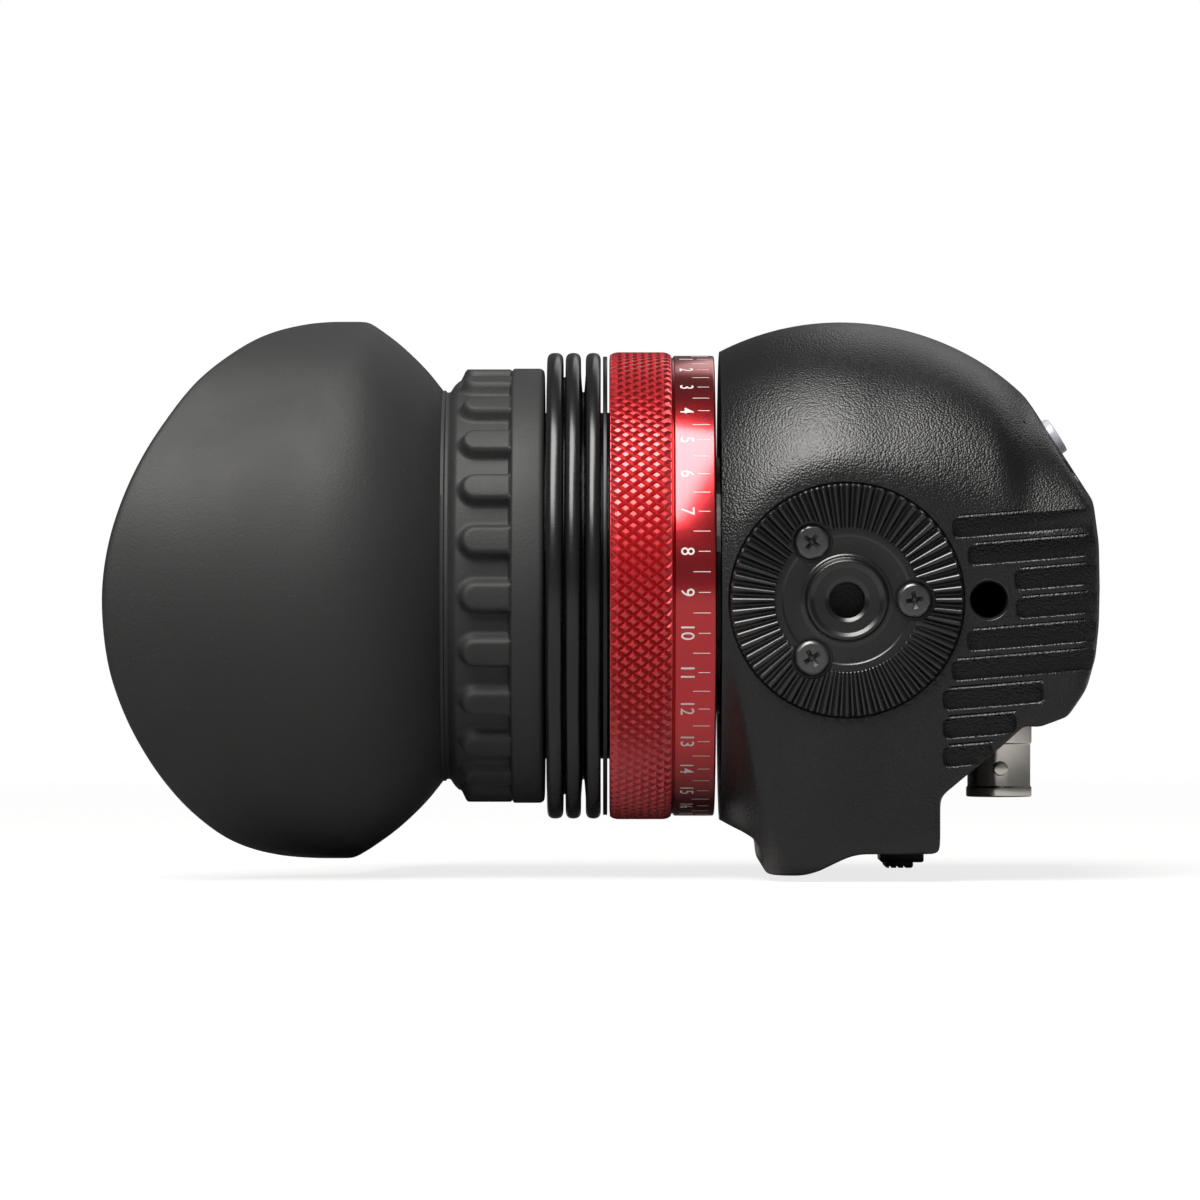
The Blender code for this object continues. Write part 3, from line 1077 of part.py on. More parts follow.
def display():
    """The small screen in the body's face: a round frame, a cover glass in its window, the panel behind."""
    panel_back = BOX_LEFT_X - GAP
    panel_front = panel_back - DISPLAY_THICKNESS
    frame_back = panel_front - GAP
    frame_front = frame_back - DISPLAY_FRAME_THICKNESS
    frame = cylinder("display_frame", (frame_front, 0, 0), (frame_back, 0, 0), NECK_RADIUS - GAP / 3, BLACK_PLASTIC,
                     steps=32)
    half_y = DISPLAY_WINDOW[0] / 2
    half_z = DISPLAY_WINDOW[1] / 2
    cut(frame, box("display_window", (frame_front - BITE, -half_y, -half_z), (frame_back + BITE, half_y, half_z)))
    box("display_glass", (frame_front + GAP / 2, -half_y + GAP, -half_z + GAP),
        (frame_back, half_y - GAP, half_z - GAP), GLASS)
    half_y = DISPLAY_SIZE[0] / 2
    half_z = DISPLAY_SIZE[1] / 2
    box("display_panel", (panel_front, -half_y, -half_z), (panel_back, half_y, half_z), SCREEN)
    return frame_front


# Battery

def battery_pack():
    end = BODY_HALF_WIDTH - PACK_RECESS
    box("battery_pack", (BAY_LEFT_X + BAY_CLEARANCE, end - PACK_LENGTH, BAY_BOTTOM_Z + BAY_CLEARANCE),
        (BAY_RIGHT_X - BAY_CLEARANCE, end, BAY_TOP_Z - BAY_CLEARANCE), BLACK_PLASTIC, PACK_ROUNDING)


def latch_levels():
    """Heights of the latch: its flange's top and bottom, the box's floor, its step and its pad."""
    flange_bottom = BOX_BOTTOM_Z + LATCH_FLANGE_RISE
    step = BOX_BOTTOM_Z - GAP - LATCH_STEP
    return flange_bottom + LATCH_FLANGE, flange_bottom, BOX_BOTTOM_Z - GAP, step, step - LATCH_PAD


def latch_slot_cutters():
    """A T-shaped slot in the box's floor that the latch slides in."""
    top, bottom = latch_levels()[:2]
    left = LATCH_LEFT_X - LATCH_SPRING_LENGTH - 2 * GAP
    right = LATCH_LEFT_X + LATCH_NECK_LENGTH + GAP
    room = LATCH_HALF_WIDTH + GAP
    neck = LATCH_NECK_HALF_WIDTH + GAP
    flange_room = box("latch_room", (left, LATCH_CENTRE_Y - room, bottom - GAP), (right, LATCH_CENTRE_Y + room, top + GAP))
    mouth = box("latch_mouth", (left, LATCH_CENTRE_Y - neck, BOX_BOTTOM_Z - RIDGE_DROP - OVERRUN),
                (right, LATCH_CENTRE_Y + neck, bottom))
    return flange_room, mouth


def battery_latch():
    """A slider under the box: flange in the slot, neck through it, a stepped finger pad below."""
    top, bottom, under, step, pad = latch_levels()
    right = LATCH_LEFT_X + LATCH_NECK_LENGTH
    y = LATCH_CENTRE_Y
    latch = box("battery_latch", (LATCH_LEFT_X, y - LATCH_HALF_WIDTH, bottom), (right, y + LATCH_HALF_WIDTH, top),
                BLACK_PLASTIC)
    neck = box("latch_neck", (LATCH_LEFT_X + BITE / 2, y - LATCH_NECK_HALF_WIDTH, under - BITE),
               (right - BITE / 2, y + LATCH_NECK_HALF_WIDTH, bottom + BITE))
    wide = LATCH_HALF_WIDTH + BITE
    block = box("latch_block", (LATCH_LEFT_X - BITE, y - wide, step), (LATCH_LEFT_X + LATCH_LENGTH, y + wide, under))
    pad_left = LATCH_LEFT_X + GAP
    grip = box("latch_pad", (pad_left, y - wide + BITE, pad), (pad_left + LATCH_PAD_LENGTH, y + wide - BITE, step + BITE))
    join(latch, neck, block, grip)

    left = LATCH_LEFT_X - LATCH_SPRING_LENGTH - GAP
    strip = LATCH_SPRING_STRIP
    turns = 4
    centre = []
    for index in range(2 * turns + 1):
        x = left + strip + (index % 2) * (LATCH_SPRING_LENGTH - 2 * strip)
        centre.append((x, (index - turns) * LATCH_HALF_WIDTH / (turns + 1)))
    outline = [(x - strip, depth) for x, depth in centre] + [(x + strip, depth) for x, depth in reversed(centre)]
    spring = prism("latch_spring", outline, bottom, top, GREY_METAL)
    spring.rotation_euler = (0.0, 0.0, 0.0)
    spring.location = (0.0, y, (bottom + top) / 2)


# Guide tube, focus ring and bellows

def guide_tube(neck_end_x):
    outline = [(neck_end_x - GAP, NECK_BORE), (neck_end_x - GAP, NECK_RADIUS), (TUBE_DISC_X, NECK_RADIUS),
               (TUBE_DISC_X, TUBE_RADIUS), (RING_END_X, TUBE_RADIUS), (RING_END_X, TUBE_BORE),
               (TUBE_ROOM_X, TUBE_BORE), (TUBE_ROOM_X, NECK_BORE)]
    tube = turned("guide_tube", outline, HARD_BLACK)
    half = PIN_RADIUS + GAP
    low_x = PIN_X - EYEPIECE_TRAVEL - half - GAP
    cut(tube, box("pin_slots", (low_x, -half, -RING_BORE - BITE), (PIN_X + half, half, RING_BORE + BITE)))
    reach = NECK_BORE - GAP
    return tube, reach


def retaining_flange():
    end = FLANGE_X - FLANGE_THICKNESS
    turned("retaining_flange", [(FLANGE_X, TUBE_BORE + GAP), (FLANGE_X, FLANGE_RADIUS), (end, FLANGE_RADIUS),
                                (end, TUBE_BORE + GAP)], GREY_METAL)


def cam_cutter(name, turn):
    """A helical groove that carries one drive pin along the axis as the ring turns."""
    half = PIN_RADIUS + GAP
    margin = half / RING_BORE * 1.2
    rings = []
    for step in range(CAM_STEPS + 1):
        angle = -margin + (radians(CAM_SWEEP) + 2 * margin) * step / CAM_STEPS
        x = PIN_X - EYEPIECE_TRAVEL * angle / radians(CAM_SWEEP)
        y = -sin(angle + turn)
        z = cos(angle + turn)
        section = ((x - half, RING_BORE - BITE), (x + half, RING_BORE - BITE),
                   (x + half, RING_BORE + CAM_DEPTH), (x - half, RING_BORE + CAM_DEPTH))
        rings.append([(along, y * r, z * r) for along, r in section])
    return loft(name, rings)


def focus_ring():
    """Smooth graduated band, knurled band, and an end wall that turns on the guide tube's neck."""
    c = RING_CHAMFER
    dial_end = RING_X - DIAL_LENGTH
    inner_end = RING_X - RING_END_WALL
    neck = NECK_RADIUS + GAP * 1.5
    outline = [(RING_X, neck), (RING_X, DIAL_RADIUS - c), (RING_X - c, DIAL_RADIUS), (dial_end, DIAL_RADIUS),
               (dial_end - GAP, DIAL_RADIUS - GAP), (dial_end - c, KNURL_RADIUS - GAP), (dial_end - 2 * c, KNURL_RADIUS),
               (RING_END_X + c, KNURL_RADIUS), (RING_END_X, KNURL_RADIUS - c), (RING_END_X, RING_BORE),
               (inner_end, RING_BORE), (inner_end, neck)]
    ring = turned("focus_ring", outline, RED_METAL)
    cut(ring, cam_cutter("cam_1", 0.0), cam_cutter("cam_2", pi))


def bellows():
    """Three folds between the retaining flange and the eyepiece's shoulder."""
    pitch = BELLOWS_LENGTH / BELLOWS_FOLDS
    outer = [(BELLOWS_X, BELLOWS_BORE)]
    inner = []
    for fold in range(BELLOWS_FOLDS):
        start = BELLOWS_X - fold * pitch
        middle = start - pitch / 2
        outer += [(start, BELLOWS_VALLEY_RADIUS), (middle + BELLOWS_TIP, BELLOWS_TIP_RADIUS),
                  (middle - BELLOWS_TIP, BELLOWS_TIP_RADIUS)]
        inner += [(start - BELLOWS_WALL, BELLOWS_BORE), (middle, BELLOWS_TIP_RADIUS - 3 * BELLOWS_WALL),
                  (start - pitch + BELLOWS_WALL, BELLOWS_BORE)]
    outer += [(BELLOWS_END_X, BELLOWS_VALLEY_RADIUS), (BELLOWS_END_X, BELLOWS_BORE)]
    turned("bellows", outer + inner[::-1], BELLOWS_RUBBER, steps=32)


# Eyepiece

def lens_barrel():
    end = BARREL_X - BARREL_LENGTH
    outline = [(BARREL_X, BARREL_LIP_BORE), (BARREL_X, BARREL_RADIUS), (SHOULDER_X, BARREL_RADIUS),
               (SHOULDER_X, SHOULDER_RADIUS), (SHOULDER_X - SHOULDER, SHOULDER_RADIUS),
               (SHOULDER_X - SHOULDER, BARREL_RADIUS), (end, BARREL_RADIUS), (end, BARREL_BORE),
               (BARREL_X - BARREL_LIP, BARREL_BORE), (BARREL_X - BARREL_LIP, BARREL_LIP_BORE)]
    barrel = turned("lens_barrel", outline, HARD_BLACK, steps=40)
    reach = BARREL_RADIUS + BITE
    cut(barrel, cylinder("pin_holes", (PIN_X, 0, -reach), (PIN_X, 0, reach), PIN_RADIUS + GAP, steps=12))
    for index, side in enumerate((1, -1)):
        cylinder(f"drive_pin_{index + 1}", (PIN_X, 0, side * (BARREL_BORE + GAP)),
                 (PIN_X, 0, side * (RING_BORE + CAM_DEPTH - GAP)), PIN_RADIUS, GREY_METAL, steps=12)
    return end


def lens_rise(radius):
    """How far a lens face stands past its edge at a radius."""
    return (LENS_THICKNESS - LENS_EDGE) / 2 * (1 - (radius / LENS_RADIUS) ** 2)


def lens(name, edge_x):
    """A lens with two domed faces, turned about the axis, from the plane of its right edge."""
    steps = 5
    radii = [LENS_RADIUS * i / steps for i in range(steps + 1)]
    right = [(edge_x + lens_rise(r), r) for r in radii]
    left = [(edge_x - LENS_EDGE - lens_rise(r), r) for r in reversed(radii)]
    turned(name, right + left, GLASS, steps=32)


def optics(barrel_end_x):
    seat = lens_rise(BARREL_LIP_BORE) + GAP
    field_edge = BARREL_X - BARREL_LIP - seat
    lens("field_lens", field_edge)
    retainer_end = barrel_end_x + RETAINER_BACK
    retainer_start = retainer_end + RETAINER
    eye_edge = retainer_start + seat + LENS_EDGE
    lens("eye_lens", eye_edge)
    spacer_start = field_edge - LENS_EDGE - seat
    spacer_end = eye_edge + seat
    turned("lens_spacer", [(spacer_start, BARREL_LIP_BORE), (spacer_start, LENS_RADIUS), (spacer_end, LENS_RADIUS),
                           (spacer_end, BARREL_LIP_BORE)], HARD_BLACK, steps=32)
    turned("lens_retaining_ring", [(retainer_start, BARREL_LIP_BORE), (retainer_start, LENS_RADIUS),
                                   (retainer_end, LENS_RADIUS), (retainer_end, BARREL_LIP_BORE + RETAINER / 2)],
           HARD_BLACK, steps=32)


# Eyecup

def wing_depth(angle):
    """How far the rim reaches past the flare, at an angle about the axis from the near side."""
    place = (degrees(angle) + 180) % 360 - 180
    for (start, one), (end, two) in zip(WING_SHARES, WING_SHARES[1:]):
        if start <= place <= end:
            return WING_REACH * (one + (two - one) * (place - start) / (end - start))
    return 0.0


def cup_section(angle, on_pad):
    """The eyecup's closed section at an angle: grip band, neck and flare outside, then back inside."""
    pad_radius = PAD_RADIUS if on_pad else PAD_BASE_RADIUS
    band_end = CUP_X - BAND_LENGTH
    pad_end = band_end - PAD_LENGTH
    neck = pad_end - CUP_NECK_RISE
    flare_end = neck - CUP_FLARE_LENGTH
    rise = CUP_FLARE_RADIUS - CUP_NECK_RADIUS
    rim = flare_end - CUP_RIM - wing_depth(angle)
    outside = [(CUP_X, BAND_RADIUS - 3 * GAP), (CUP_X - 2 * GAP, BAND_RADIUS), (band_end, BAND_RADIUS),
               (band_end - BITE, pad_radius), (pad_end + 2 * BITE, pad_radius), (pad_end, PAD_BASE_RADIUS),
               (neck, CUP_NECK_RADIUS)]
    outside += [(neck - along * CUP_FLARE_LENGTH, CUP_NECK_RADIUS + up * rise)
                for along, up in ((0.12, 0.12), (0.3, 0.33), (0.55, 0.62), (0.8, 0.86))]
    outside += [(flare_end, CUP_FLARE_RADIUS)]
    outside += [(flare_end + (rim - flare_end) * part, WING_RADIUS + (WING_TIP_RADIUS - WING_RADIUS) * part ** 2)
                for part in (0.35, 0.7, 1.0)]
    inside = [(rim + CUP_WALL / 8, WING_TIP_RADIUS - CUP_WALL * 0.8),
              (flare_end + (rim - flare_end) / 2, WING_RADIUS - CUP_WALL),
              (flare_end, CUP_FLARE_RADIUS - CUP_WALL), (neck - CUP_FLARE_LENGTH * 0.45, CUP_NECK_RADIUS + rise / 2 - CUP_WALL),
              (neck - CUP_NECK_RISE, CUP_NECK_BORE)]
    clip_end = SHOULDER_X - SHOULDER - GAP - CLIP_LENGTH - GAP
    inside += [(clip_end, CUP_NECK_BORE), (clip_end, CUP_BORE), (SHOULDER_X - SHOULDER - GAP, CUP_BORE),
               (SHOULDER_X - SHOULDER - GAP, SHOULDER_RADIUS + GAP), (CUP_X, SHOULDER_RADIUS + GAP)]
    return outside + inside


def eyecup():
    pitch = 360 / PAD_COUNT
    rings = []
    for pad in range(PAD_COUNT):
        centre = PAD_OFFSET + pad * pitch
        half = PAD_WIDTH / 2
        for step, on_pad in ((-half - PAD_FLANK, False), (-half, True), (half, True), (half + PAD_FLANK, False)):
            angle = radians(centre + step)
            rings.append([(x, -r * cos(angle), r * sin(angle)) for x, r in cup_section(angle, on_pad)])
    loft("eyecup", rings, RUBBER, cyclic=True)
    start = SHOULDER_X - SHOULDER - 1.5 * GAP
    turned("eyecup_clip_ring", [(start, BARREL_RADIUS + GAP), (start, CUP_BORE - GAP), (start - CLIP_LENGTH, CUP_BORE - GAP),
                                (start - CLIP_LENGTH, BARREL_RADIUS + GAP)], BLACK_PLASTIC, steps=40)


def build():
    main_housing()
    front_plate()
    rosette()
    for index, place in enumerate(rosette_screw_places()):
        screw(f"rosette_screw_{index + 1}", place, Vector((0, -1, 0)), ROSETTE_SCREW, HARD_BLACK)
    side_insert()
    function_buttons()
    key_board()
    joystick()
    connector_panel()
    interface_board()
    bnc_jack()
    hdmi_sockets()
    power_socket()
    electronics()
    frame_front = display()
    battery_pack()
    battery_latch()
    guide_tube(frame_front)
    retaining_flange()
    focus_ring()
    bellows()
    barrel_end = lens_barrel()
    optics(barrel_end)
    eyecup()


build()
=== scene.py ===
"""Electronic viewfinder, dressed: laid out as a Blender add-on and run as a script.

Pieces are shaped in the optical frame (x along the optical axis, z up, its zero at the centre of the
round body) and then moved onto the axis of the loaded frame.
"""

from math import atan2, copysign, cos, exp, hypot, log, pi, radians, sin, sqrt

import bmesh
import bpy
from bpy.props import FloatProperty, FloatVectorProperty, IntProperty, PointerProperty
from mathutils import Matrix, Vector
from mathutils.bvhtree import BVHTree


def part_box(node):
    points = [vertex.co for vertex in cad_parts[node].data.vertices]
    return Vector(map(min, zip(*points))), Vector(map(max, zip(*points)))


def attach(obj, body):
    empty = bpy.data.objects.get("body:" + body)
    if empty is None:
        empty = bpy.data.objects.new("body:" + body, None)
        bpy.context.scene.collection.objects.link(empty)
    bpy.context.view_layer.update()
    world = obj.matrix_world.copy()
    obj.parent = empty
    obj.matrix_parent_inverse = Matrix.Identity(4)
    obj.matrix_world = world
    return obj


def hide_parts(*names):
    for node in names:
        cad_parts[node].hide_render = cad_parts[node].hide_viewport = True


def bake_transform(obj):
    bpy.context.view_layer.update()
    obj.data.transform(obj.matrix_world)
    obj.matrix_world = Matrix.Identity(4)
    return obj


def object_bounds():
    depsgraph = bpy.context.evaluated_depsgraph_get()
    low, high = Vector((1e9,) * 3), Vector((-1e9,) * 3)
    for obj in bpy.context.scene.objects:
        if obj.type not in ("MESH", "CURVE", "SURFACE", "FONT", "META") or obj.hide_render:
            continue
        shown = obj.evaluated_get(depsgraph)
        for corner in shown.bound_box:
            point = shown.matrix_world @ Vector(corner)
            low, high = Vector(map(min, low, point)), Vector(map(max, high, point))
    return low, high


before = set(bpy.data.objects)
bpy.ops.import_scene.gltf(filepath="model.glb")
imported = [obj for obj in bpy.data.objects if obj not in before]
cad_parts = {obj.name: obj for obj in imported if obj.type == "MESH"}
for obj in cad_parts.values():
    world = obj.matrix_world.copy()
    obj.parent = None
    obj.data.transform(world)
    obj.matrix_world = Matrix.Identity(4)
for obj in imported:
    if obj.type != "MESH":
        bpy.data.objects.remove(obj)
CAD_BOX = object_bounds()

bl_info = {
    "name": "Electronic Viewfinder",
    "version": (1, 0, 0),
    "blender": (4, 5, 0),
    "location": "3D View > Sidebar > Viewfinder",
    "description": "Builds an electronic viewfinder with its eyecup, focus ring, body and sockets",
    "category": "Object",
}

MM = 0.001
RING_LOW, RING_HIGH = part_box("focus_ring")
AXIS = Vector((0.0, (RING_LOW[1] + RING_HIGH[1]) / 2, (RING_LOW[2] + RING_HIGH[2]) / 2))
ROSETTE_Z = -AXIS.z
WELD = 0.0005 * MM
LEAST_REACH = 0.001 * MM
SIDE_SHARE = 0.48


def length(name, description, value):
    return FloatProperty(name=name, description=description, default=value, subtype="DISTANCE", unit="LENGTH")


def colour(name, description, value):
    return FloatVectorProperty(name=name, description=description, default=value, subtype="COLOR", min=0.0, max=1.0)


def share(name, description, value):
    return FloatProperty(name=name, description=description, default=value, min=0.0, max=1.0, subtype="FACTOR")


class ViewfinderBodySizes(bpy.types.PropertyGroup):
    """Sizes of the round body and what is cut into it."""
    ball_radius: length("Ball radius", "Radius of the round part of the body", 37.0 * MM)
    face_x: length("Face", "Where the flat face behind the focus ring stands", -17.0 * MM)
    wall: length("Wall", "Thickness of the shell", 3.0 * MM)
    front_x: length("Front", "Where the front face stands", 36.3 * MM)
    front_rounding: length("Front rounding", "Radius of the upright edges of the front", 2.8 * MM)
    front_crown: length("Front crown", "Radius of the front across the body", 240.0 * MM)
    voxel: length("Remesh size", "Size of the squares that the body is remeshed into", 0.6 * MM)
    soften: IntProperty(name="Softening", description="How often the remeshed body is smoothed", default=7, min=0)
    groove_depth: length("Groove depth", "Depth of the cooling grooves", 2.1 * MM)
    groove_height: length("Groove height", "Height of one cooling groove", 2.6 * MM)
    groove_pitch: length("Groove pitch", "Step from one groove to the next", 3.9 * MM)


class ViewfinderRingSizes(bpy.types.PropertyGroup):
    """Sizes of the focus ring and its dial."""
    dial_radius: length("Dial radius", "Radius of the smooth graduated band", 32.3 * MM)
    knurl_radius: length("Knurl radius", "Radius over the knurled band", 32.8 * MM)
    knurl_height: length("Knurl height", "Height of one diamond of the knurl", 0.42 * MM)
    knurl_columns: IntProperty(name="Knurl columns", description="Diamonds around the ring", default=124, min=8)
    knurl_rows: IntProperty(name="Knurl rows", description="Diamonds across the band", default=4, min=1)
    digit_height: length("Digit height", "Height of the numbers on the dial", 1.87 * MM)
    last_number: IntProperty(name="Last number", description="Highest number on the dial", default=18, min=1)


class ViewfinderCupSizes(bpy.types.PropertyGroup):
    """Sizes of the rubber eyecup."""
    band_radius: length("Band radius", "Radius of the grip band", 30.5 * MM)
    pad_height: length("Pad height", "Height of the grip pads over the band's floor", 1.75 * MM)
    wing_radius: length("Wing radius", "Radius of the wing about the optical axis", 37.65 * MM)
    wing_drop: length("Wing drop", "How far the wing hangs lower than the axis", 0.6 * MM)
    wing_reach: length("Wing reach", "How far the wing reaches past the short side of the rim", 34.1 * MM)
    wall: length("Wall", "Thickness of the rubber", 2.0 * MM)


class ViewfinderFinish(bpy.types.PropertyGroup):
    """Colours and roughness of the main finishes."""
    paint: colour("Body paint", "Colour of the pebbled body paint", (0.0048, 0.0048, 0.0051))
    paint_roughness: share("Paint roughness", "Roughness of the body paint", 0.33)
    rubber: colour("Eyecup rubber", "Colour of the eyecup", (0.0135, 0.0138, 0.0142))
    rubber_roughness: share("Rubber roughness", "Roughness of the eyecup", 0.64)
    bellows: colour("Bellows rubber", "Colour of the bellows", (0.006, 0.006, 0.0065))
    red: colour("Red anodising", "Colour of the focus ring", (0.54, 0.014, 0.022))
    anodised: colour("Black anodising", "Colour of the black metal", (0.006, 0.006, 0.0065))
    nickel: colour("Nickel", "Colour of the plated jack", (0.72, 0.69, 0.64))
    marks: colour("Dial marks", "Colour of the numbers and lines", (0.66, 0.63, 0.61))


class ViewfinderStage(bpy.types.PropertyGroup):
    """Camera, lamps and floor."""
    camera_distance: length("Camera distance", "From the camera to the optical axis", 1.186)
    camera_x: length("Camera place", "Where the camera stands along the object", -33.72 * MM)
    frame_width: length("Frame width", "Width of the picture at the optical axis", 168.6 * MM)
    key_power: FloatProperty(name="Key lamp", description="Power of the soft box above", default=16.0, unit="POWER")
    fill_power: FloatProperty(name="Fill lamp", description="Power of the wide front card", default=0.3, unit="POWER")
    rim_power: FloatProperty(name="Rim lamp", description="Power of the lamp behind", default=0.7, unit="POWER")
    ambient: FloatProperty(name="Ambient", description="Level of the light all around", default=0.10, min=0.0)
    reflected: FloatProperty(name="Reflected", description="Level of the surroundings in reflections", default=0.06,
                             min=0.0)


def sizes(kind):
    return getattr(bpy.context.scene, "viewfinder_" + kind)


# Shape helpers

def move(bm, offset):
    bmesh.ops.translate(bm, vec=offset, verts=bm.verts)


def face_out(bm):
    bmesh.ops.recalc_face_normals(bm, faces=bm.faces)


def softened(outline, radius, steps=3, closed=True):
    """Rounds each corner of an outline, apart from the ends of an open one. A corner may name its own radius."""
    count = len(outline)
    result = []
    for index, corner in enumerate(outline):
        here = Vector(corner[:2])
        size = corner[2] if len(corner) > 2 else radius
        back = Vector(outline[index - 1][:2]) - here
        ahead = Vector(outline[(index + 1) % count][:2]) - here
        reach = min(size, back.length * SIDE_SHARE, ahead.length * SIDE_SHARE)
        if reach < LEAST_REACH or not closed and index in (0, count - 1):
            result.append(here)
            continue
        start = here + back.normalized() * reach
        end = here + ahead.normalized() * reach
        for step in range(steps + 1):
            t = step / steps
            result.append(start * (1 - t) ** 2 + here * 2 * t * (1 - t) + end * t ** 2)
    return result


def spun(outline, steps=128, closed=True):
    """An outline of (x, radius) points spun about the x axis, as a bmesh."""
    bm = bmesh.new()
    verts = [bm.verts.new((point[0], 0.0, point[1])) for point in outline]
    edges = [bm.edges.new(pair) for pair in zip(verts, verts[1:])]
    if closed:
        edges.append(bm.edges.new((verts[-1], verts[0])))
    bmesh.ops.spin(bm, geom=verts + edges, axis=(1, 0, 0), cent=(0, 0, 0), dvec=(0, 0, 0), angle=2 * pi, steps=steps,
                   use_merge=True, use_duplicate=False)
    bmesh.ops.remove_doubles(bm, verts=bm.verts, dist=WELD)
    face_out(bm)
    return bm


def slab(outline, low_y, high_y):
    """A flat (x, z) outline pulled out across the body, as a bmesh."""
    bm = bmesh.new()
    face = bm.faces.new([bm.verts.new((point[0], low_y, point[1])) for point in outline])
    pulled = bmesh.ops.extrude_face_region(bm, geom=[face], use_keep_orig=True)["geom"]
    verts = [item for item in pulled if isinstance(item, bmesh.types.BMVert)]
    bmesh.ops.translate(bm, vec=(0, high_y - low_y, 0), verts=verts)
    face_out(bm)
    return bm


def block(low, high, rounding=0.0, segments=3):
    """A box between two corners with rounded edges, as a bmesh."""
    low = Vector(low)
    high = Vector(high)
    bm = bmesh.new()
    bmesh.ops.create_cube(bm, size=1.0)
    bmesh.ops.scale(bm, vec=high - low, verts=bm.verts)
    move(bm, (low + high) / 2)
    if rounding:
        bmesh.ops.bevel(bm, geom=bm.edges[:], offset=rounding, segments=segments, profile=0.5, affect="EDGES",
                        material=-1)
    return bm


def rod(start, end, radius, steps=32, rounding=0.0, end_radius=None):
    """A cylinder between two points, as a bmesh."""
    start = Vector(start)
    end = Vector(end)
    along = end - start
    bm = bmesh.new()
    bmesh.ops.create_cone(bm, cap_ends=True, segments=steps, radius1=radius,
                          radius2=radius if end_radius is None else end_radius, depth=along.length)
    if rounding:
        rims = [edge for edge in bm.edges if abs(edge.verts[0].co.z - edge.verts[1].co.z) < 0.001 * MM]
        bmesh.ops.bevel(bm, geom=rims, offset=rounding, segments=3, profile=0.5, affect="EDGES", material=-1)
    turn = along.to_track_quat("Z", "Y").to_matrix().to_4x4()
    bm.transform(Matrix.Translation((start + end) / 2) @ turn)
    return bm


def wrapped(columns, rows, place, cap=False):
    """A grid whose points are moved by place(column, row) and whose first and last columns are joined."""
    bm = bmesh.new()
    bmesh.ops.create_grid(bm, x_segments=columns, y_segments=rows, size=0.5)
    for vert in bm.verts:
        vert.co = place(round((vert.co.x + 0.5) * columns), round((vert.co.y + 0.5) * rows))
    bmesh.ops.remove_doubles(bm, verts=bm.verts, dist=WELD)
    if cap:
        bmesh.ops.holes_fill(bm, edges=[edge for edge in bm.edges if edge.is_boundary], sides=0)
    face_out(bm)
    return bm


def lofted(rings):
    """Closed rings of points, each joined to the next and the ends capped, as a bmesh."""
    count = len(rings[0])
    return wrapped(count, len(rings) - 1, lambda column, row: rings[row][column % count], cap=True)


def merged(parts):
    """Several bmeshes as one."""
    whole = bmesh.new()
    for part in parts:
        mesh = bpy.data.meshes.new("part")
        part.to_mesh(mesh)
        part.free()
        whole.from_mesh(mesh)
        bpy.data.meshes.remove(mesh)
    return whole


def raw_object(name, bm):
    mesh = bpy.data.meshes.new(name)
    bm.to_mesh(mesh)
    bm.free()
    obj = bpy.data.objects.new(name, mesh)
    bpy.context.scene.collection.objects.link(obj)
    return obj


def baked(obj):
    """The object's mesh with its modifiers applied. The object itself is removed."""
    bpy.context.view_layer.update()
    graph = bpy.context.evaluated_depsgraph_get()
    mesh = bpy.data.meshes.new_from_object(obj.evaluated_get(graph))
    bpy.data.objects.remove(obj, do_unlink=True)
    return mesh


def as_bmesh(mesh):
    bm = bmesh.new()
    bm.from_mesh(mesh)
    return bm


def carved(bm, cutters, operation="DIFFERENCE"):
    """A bmesh with other bmeshes cut from it, or joined to it, one after another."""
    obj = raw_object("carved", bm)
    tools = [raw_object("cutter", cutter) for cutter in cutters]
    for tool in tools:
        modifier = obj.modifiers.new("cut", "BOOLEAN")
        modifier.operation = operation
        modifier.solver = "EXACT"
        modifier.object = tool
    mesh = baked(obj)
    for tool in tools:
        bpy.data.objects.remove(tool, do_unlink=True)
    result = as_bmesh(mesh)
    bpy.data.meshes.remove(mesh)
    return result


CUT_TRIES = 4
CUT_NUDGE = (0.013 * MM, 0.017 * MM, 0.011 * MM)


def carved_in_turn(bm, cutters):
    """A bmesh with cutters cut from it one by one. A cutter whose cut fails is moved by a hair."""
    for cutter in cutters:
        for _ in range(CUT_TRIES):
            result = carved(bm.copy(), [cutter.copy()])
            if len(result.faces) > len(bm.faces) / 3:
                break
            result.free()
            move(cutter, CUT_NUDGE)
        else:
            raise RuntimeError("A cut into the body failed")
        cutter.free()
        bm.free()
        bm = result
    return bm


def in_metres(points):
    """Points in millimetres, with or without a rounding, in metres."""
    return [tuple(value * MM for value in point) for point in points]


def spun_across(outline, centre, steps):
    """(y, radius) points in millimetres spun about a line across the body through a centre, as a bmesh."""
    bm = spun(in_metres(outline), steps)
    bm.transform(Matrix.Translation(centre) @ Matrix.Rotation(pi / 2, 4, "Z"))
    face_out(bm)
    return bm


def add_piece(name, bm, material, body, replaces=(), sharp=35, on_axis=True):
    """Puts a bmesh in the scene as a finished piece that rides on a body."""
    if on_axis:
        move(bm, AXIS)
    obj = raw_object(name, bm)
    obj.data.materials.append(finish(material))
    obj.data.shade_smooth()
    obj.data.set_sharp_from_angle(angle=radians(sharp))
    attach(obj, body)
    if replaces:
        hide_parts(*replaces)


# Finishes

def wire(tree, *links):
    """Links sockets, each link as (node, output, node, input)."""
    for source, output, target, socket in links:
        tree.links.new(source.outputs[output], target.inputs[socket])


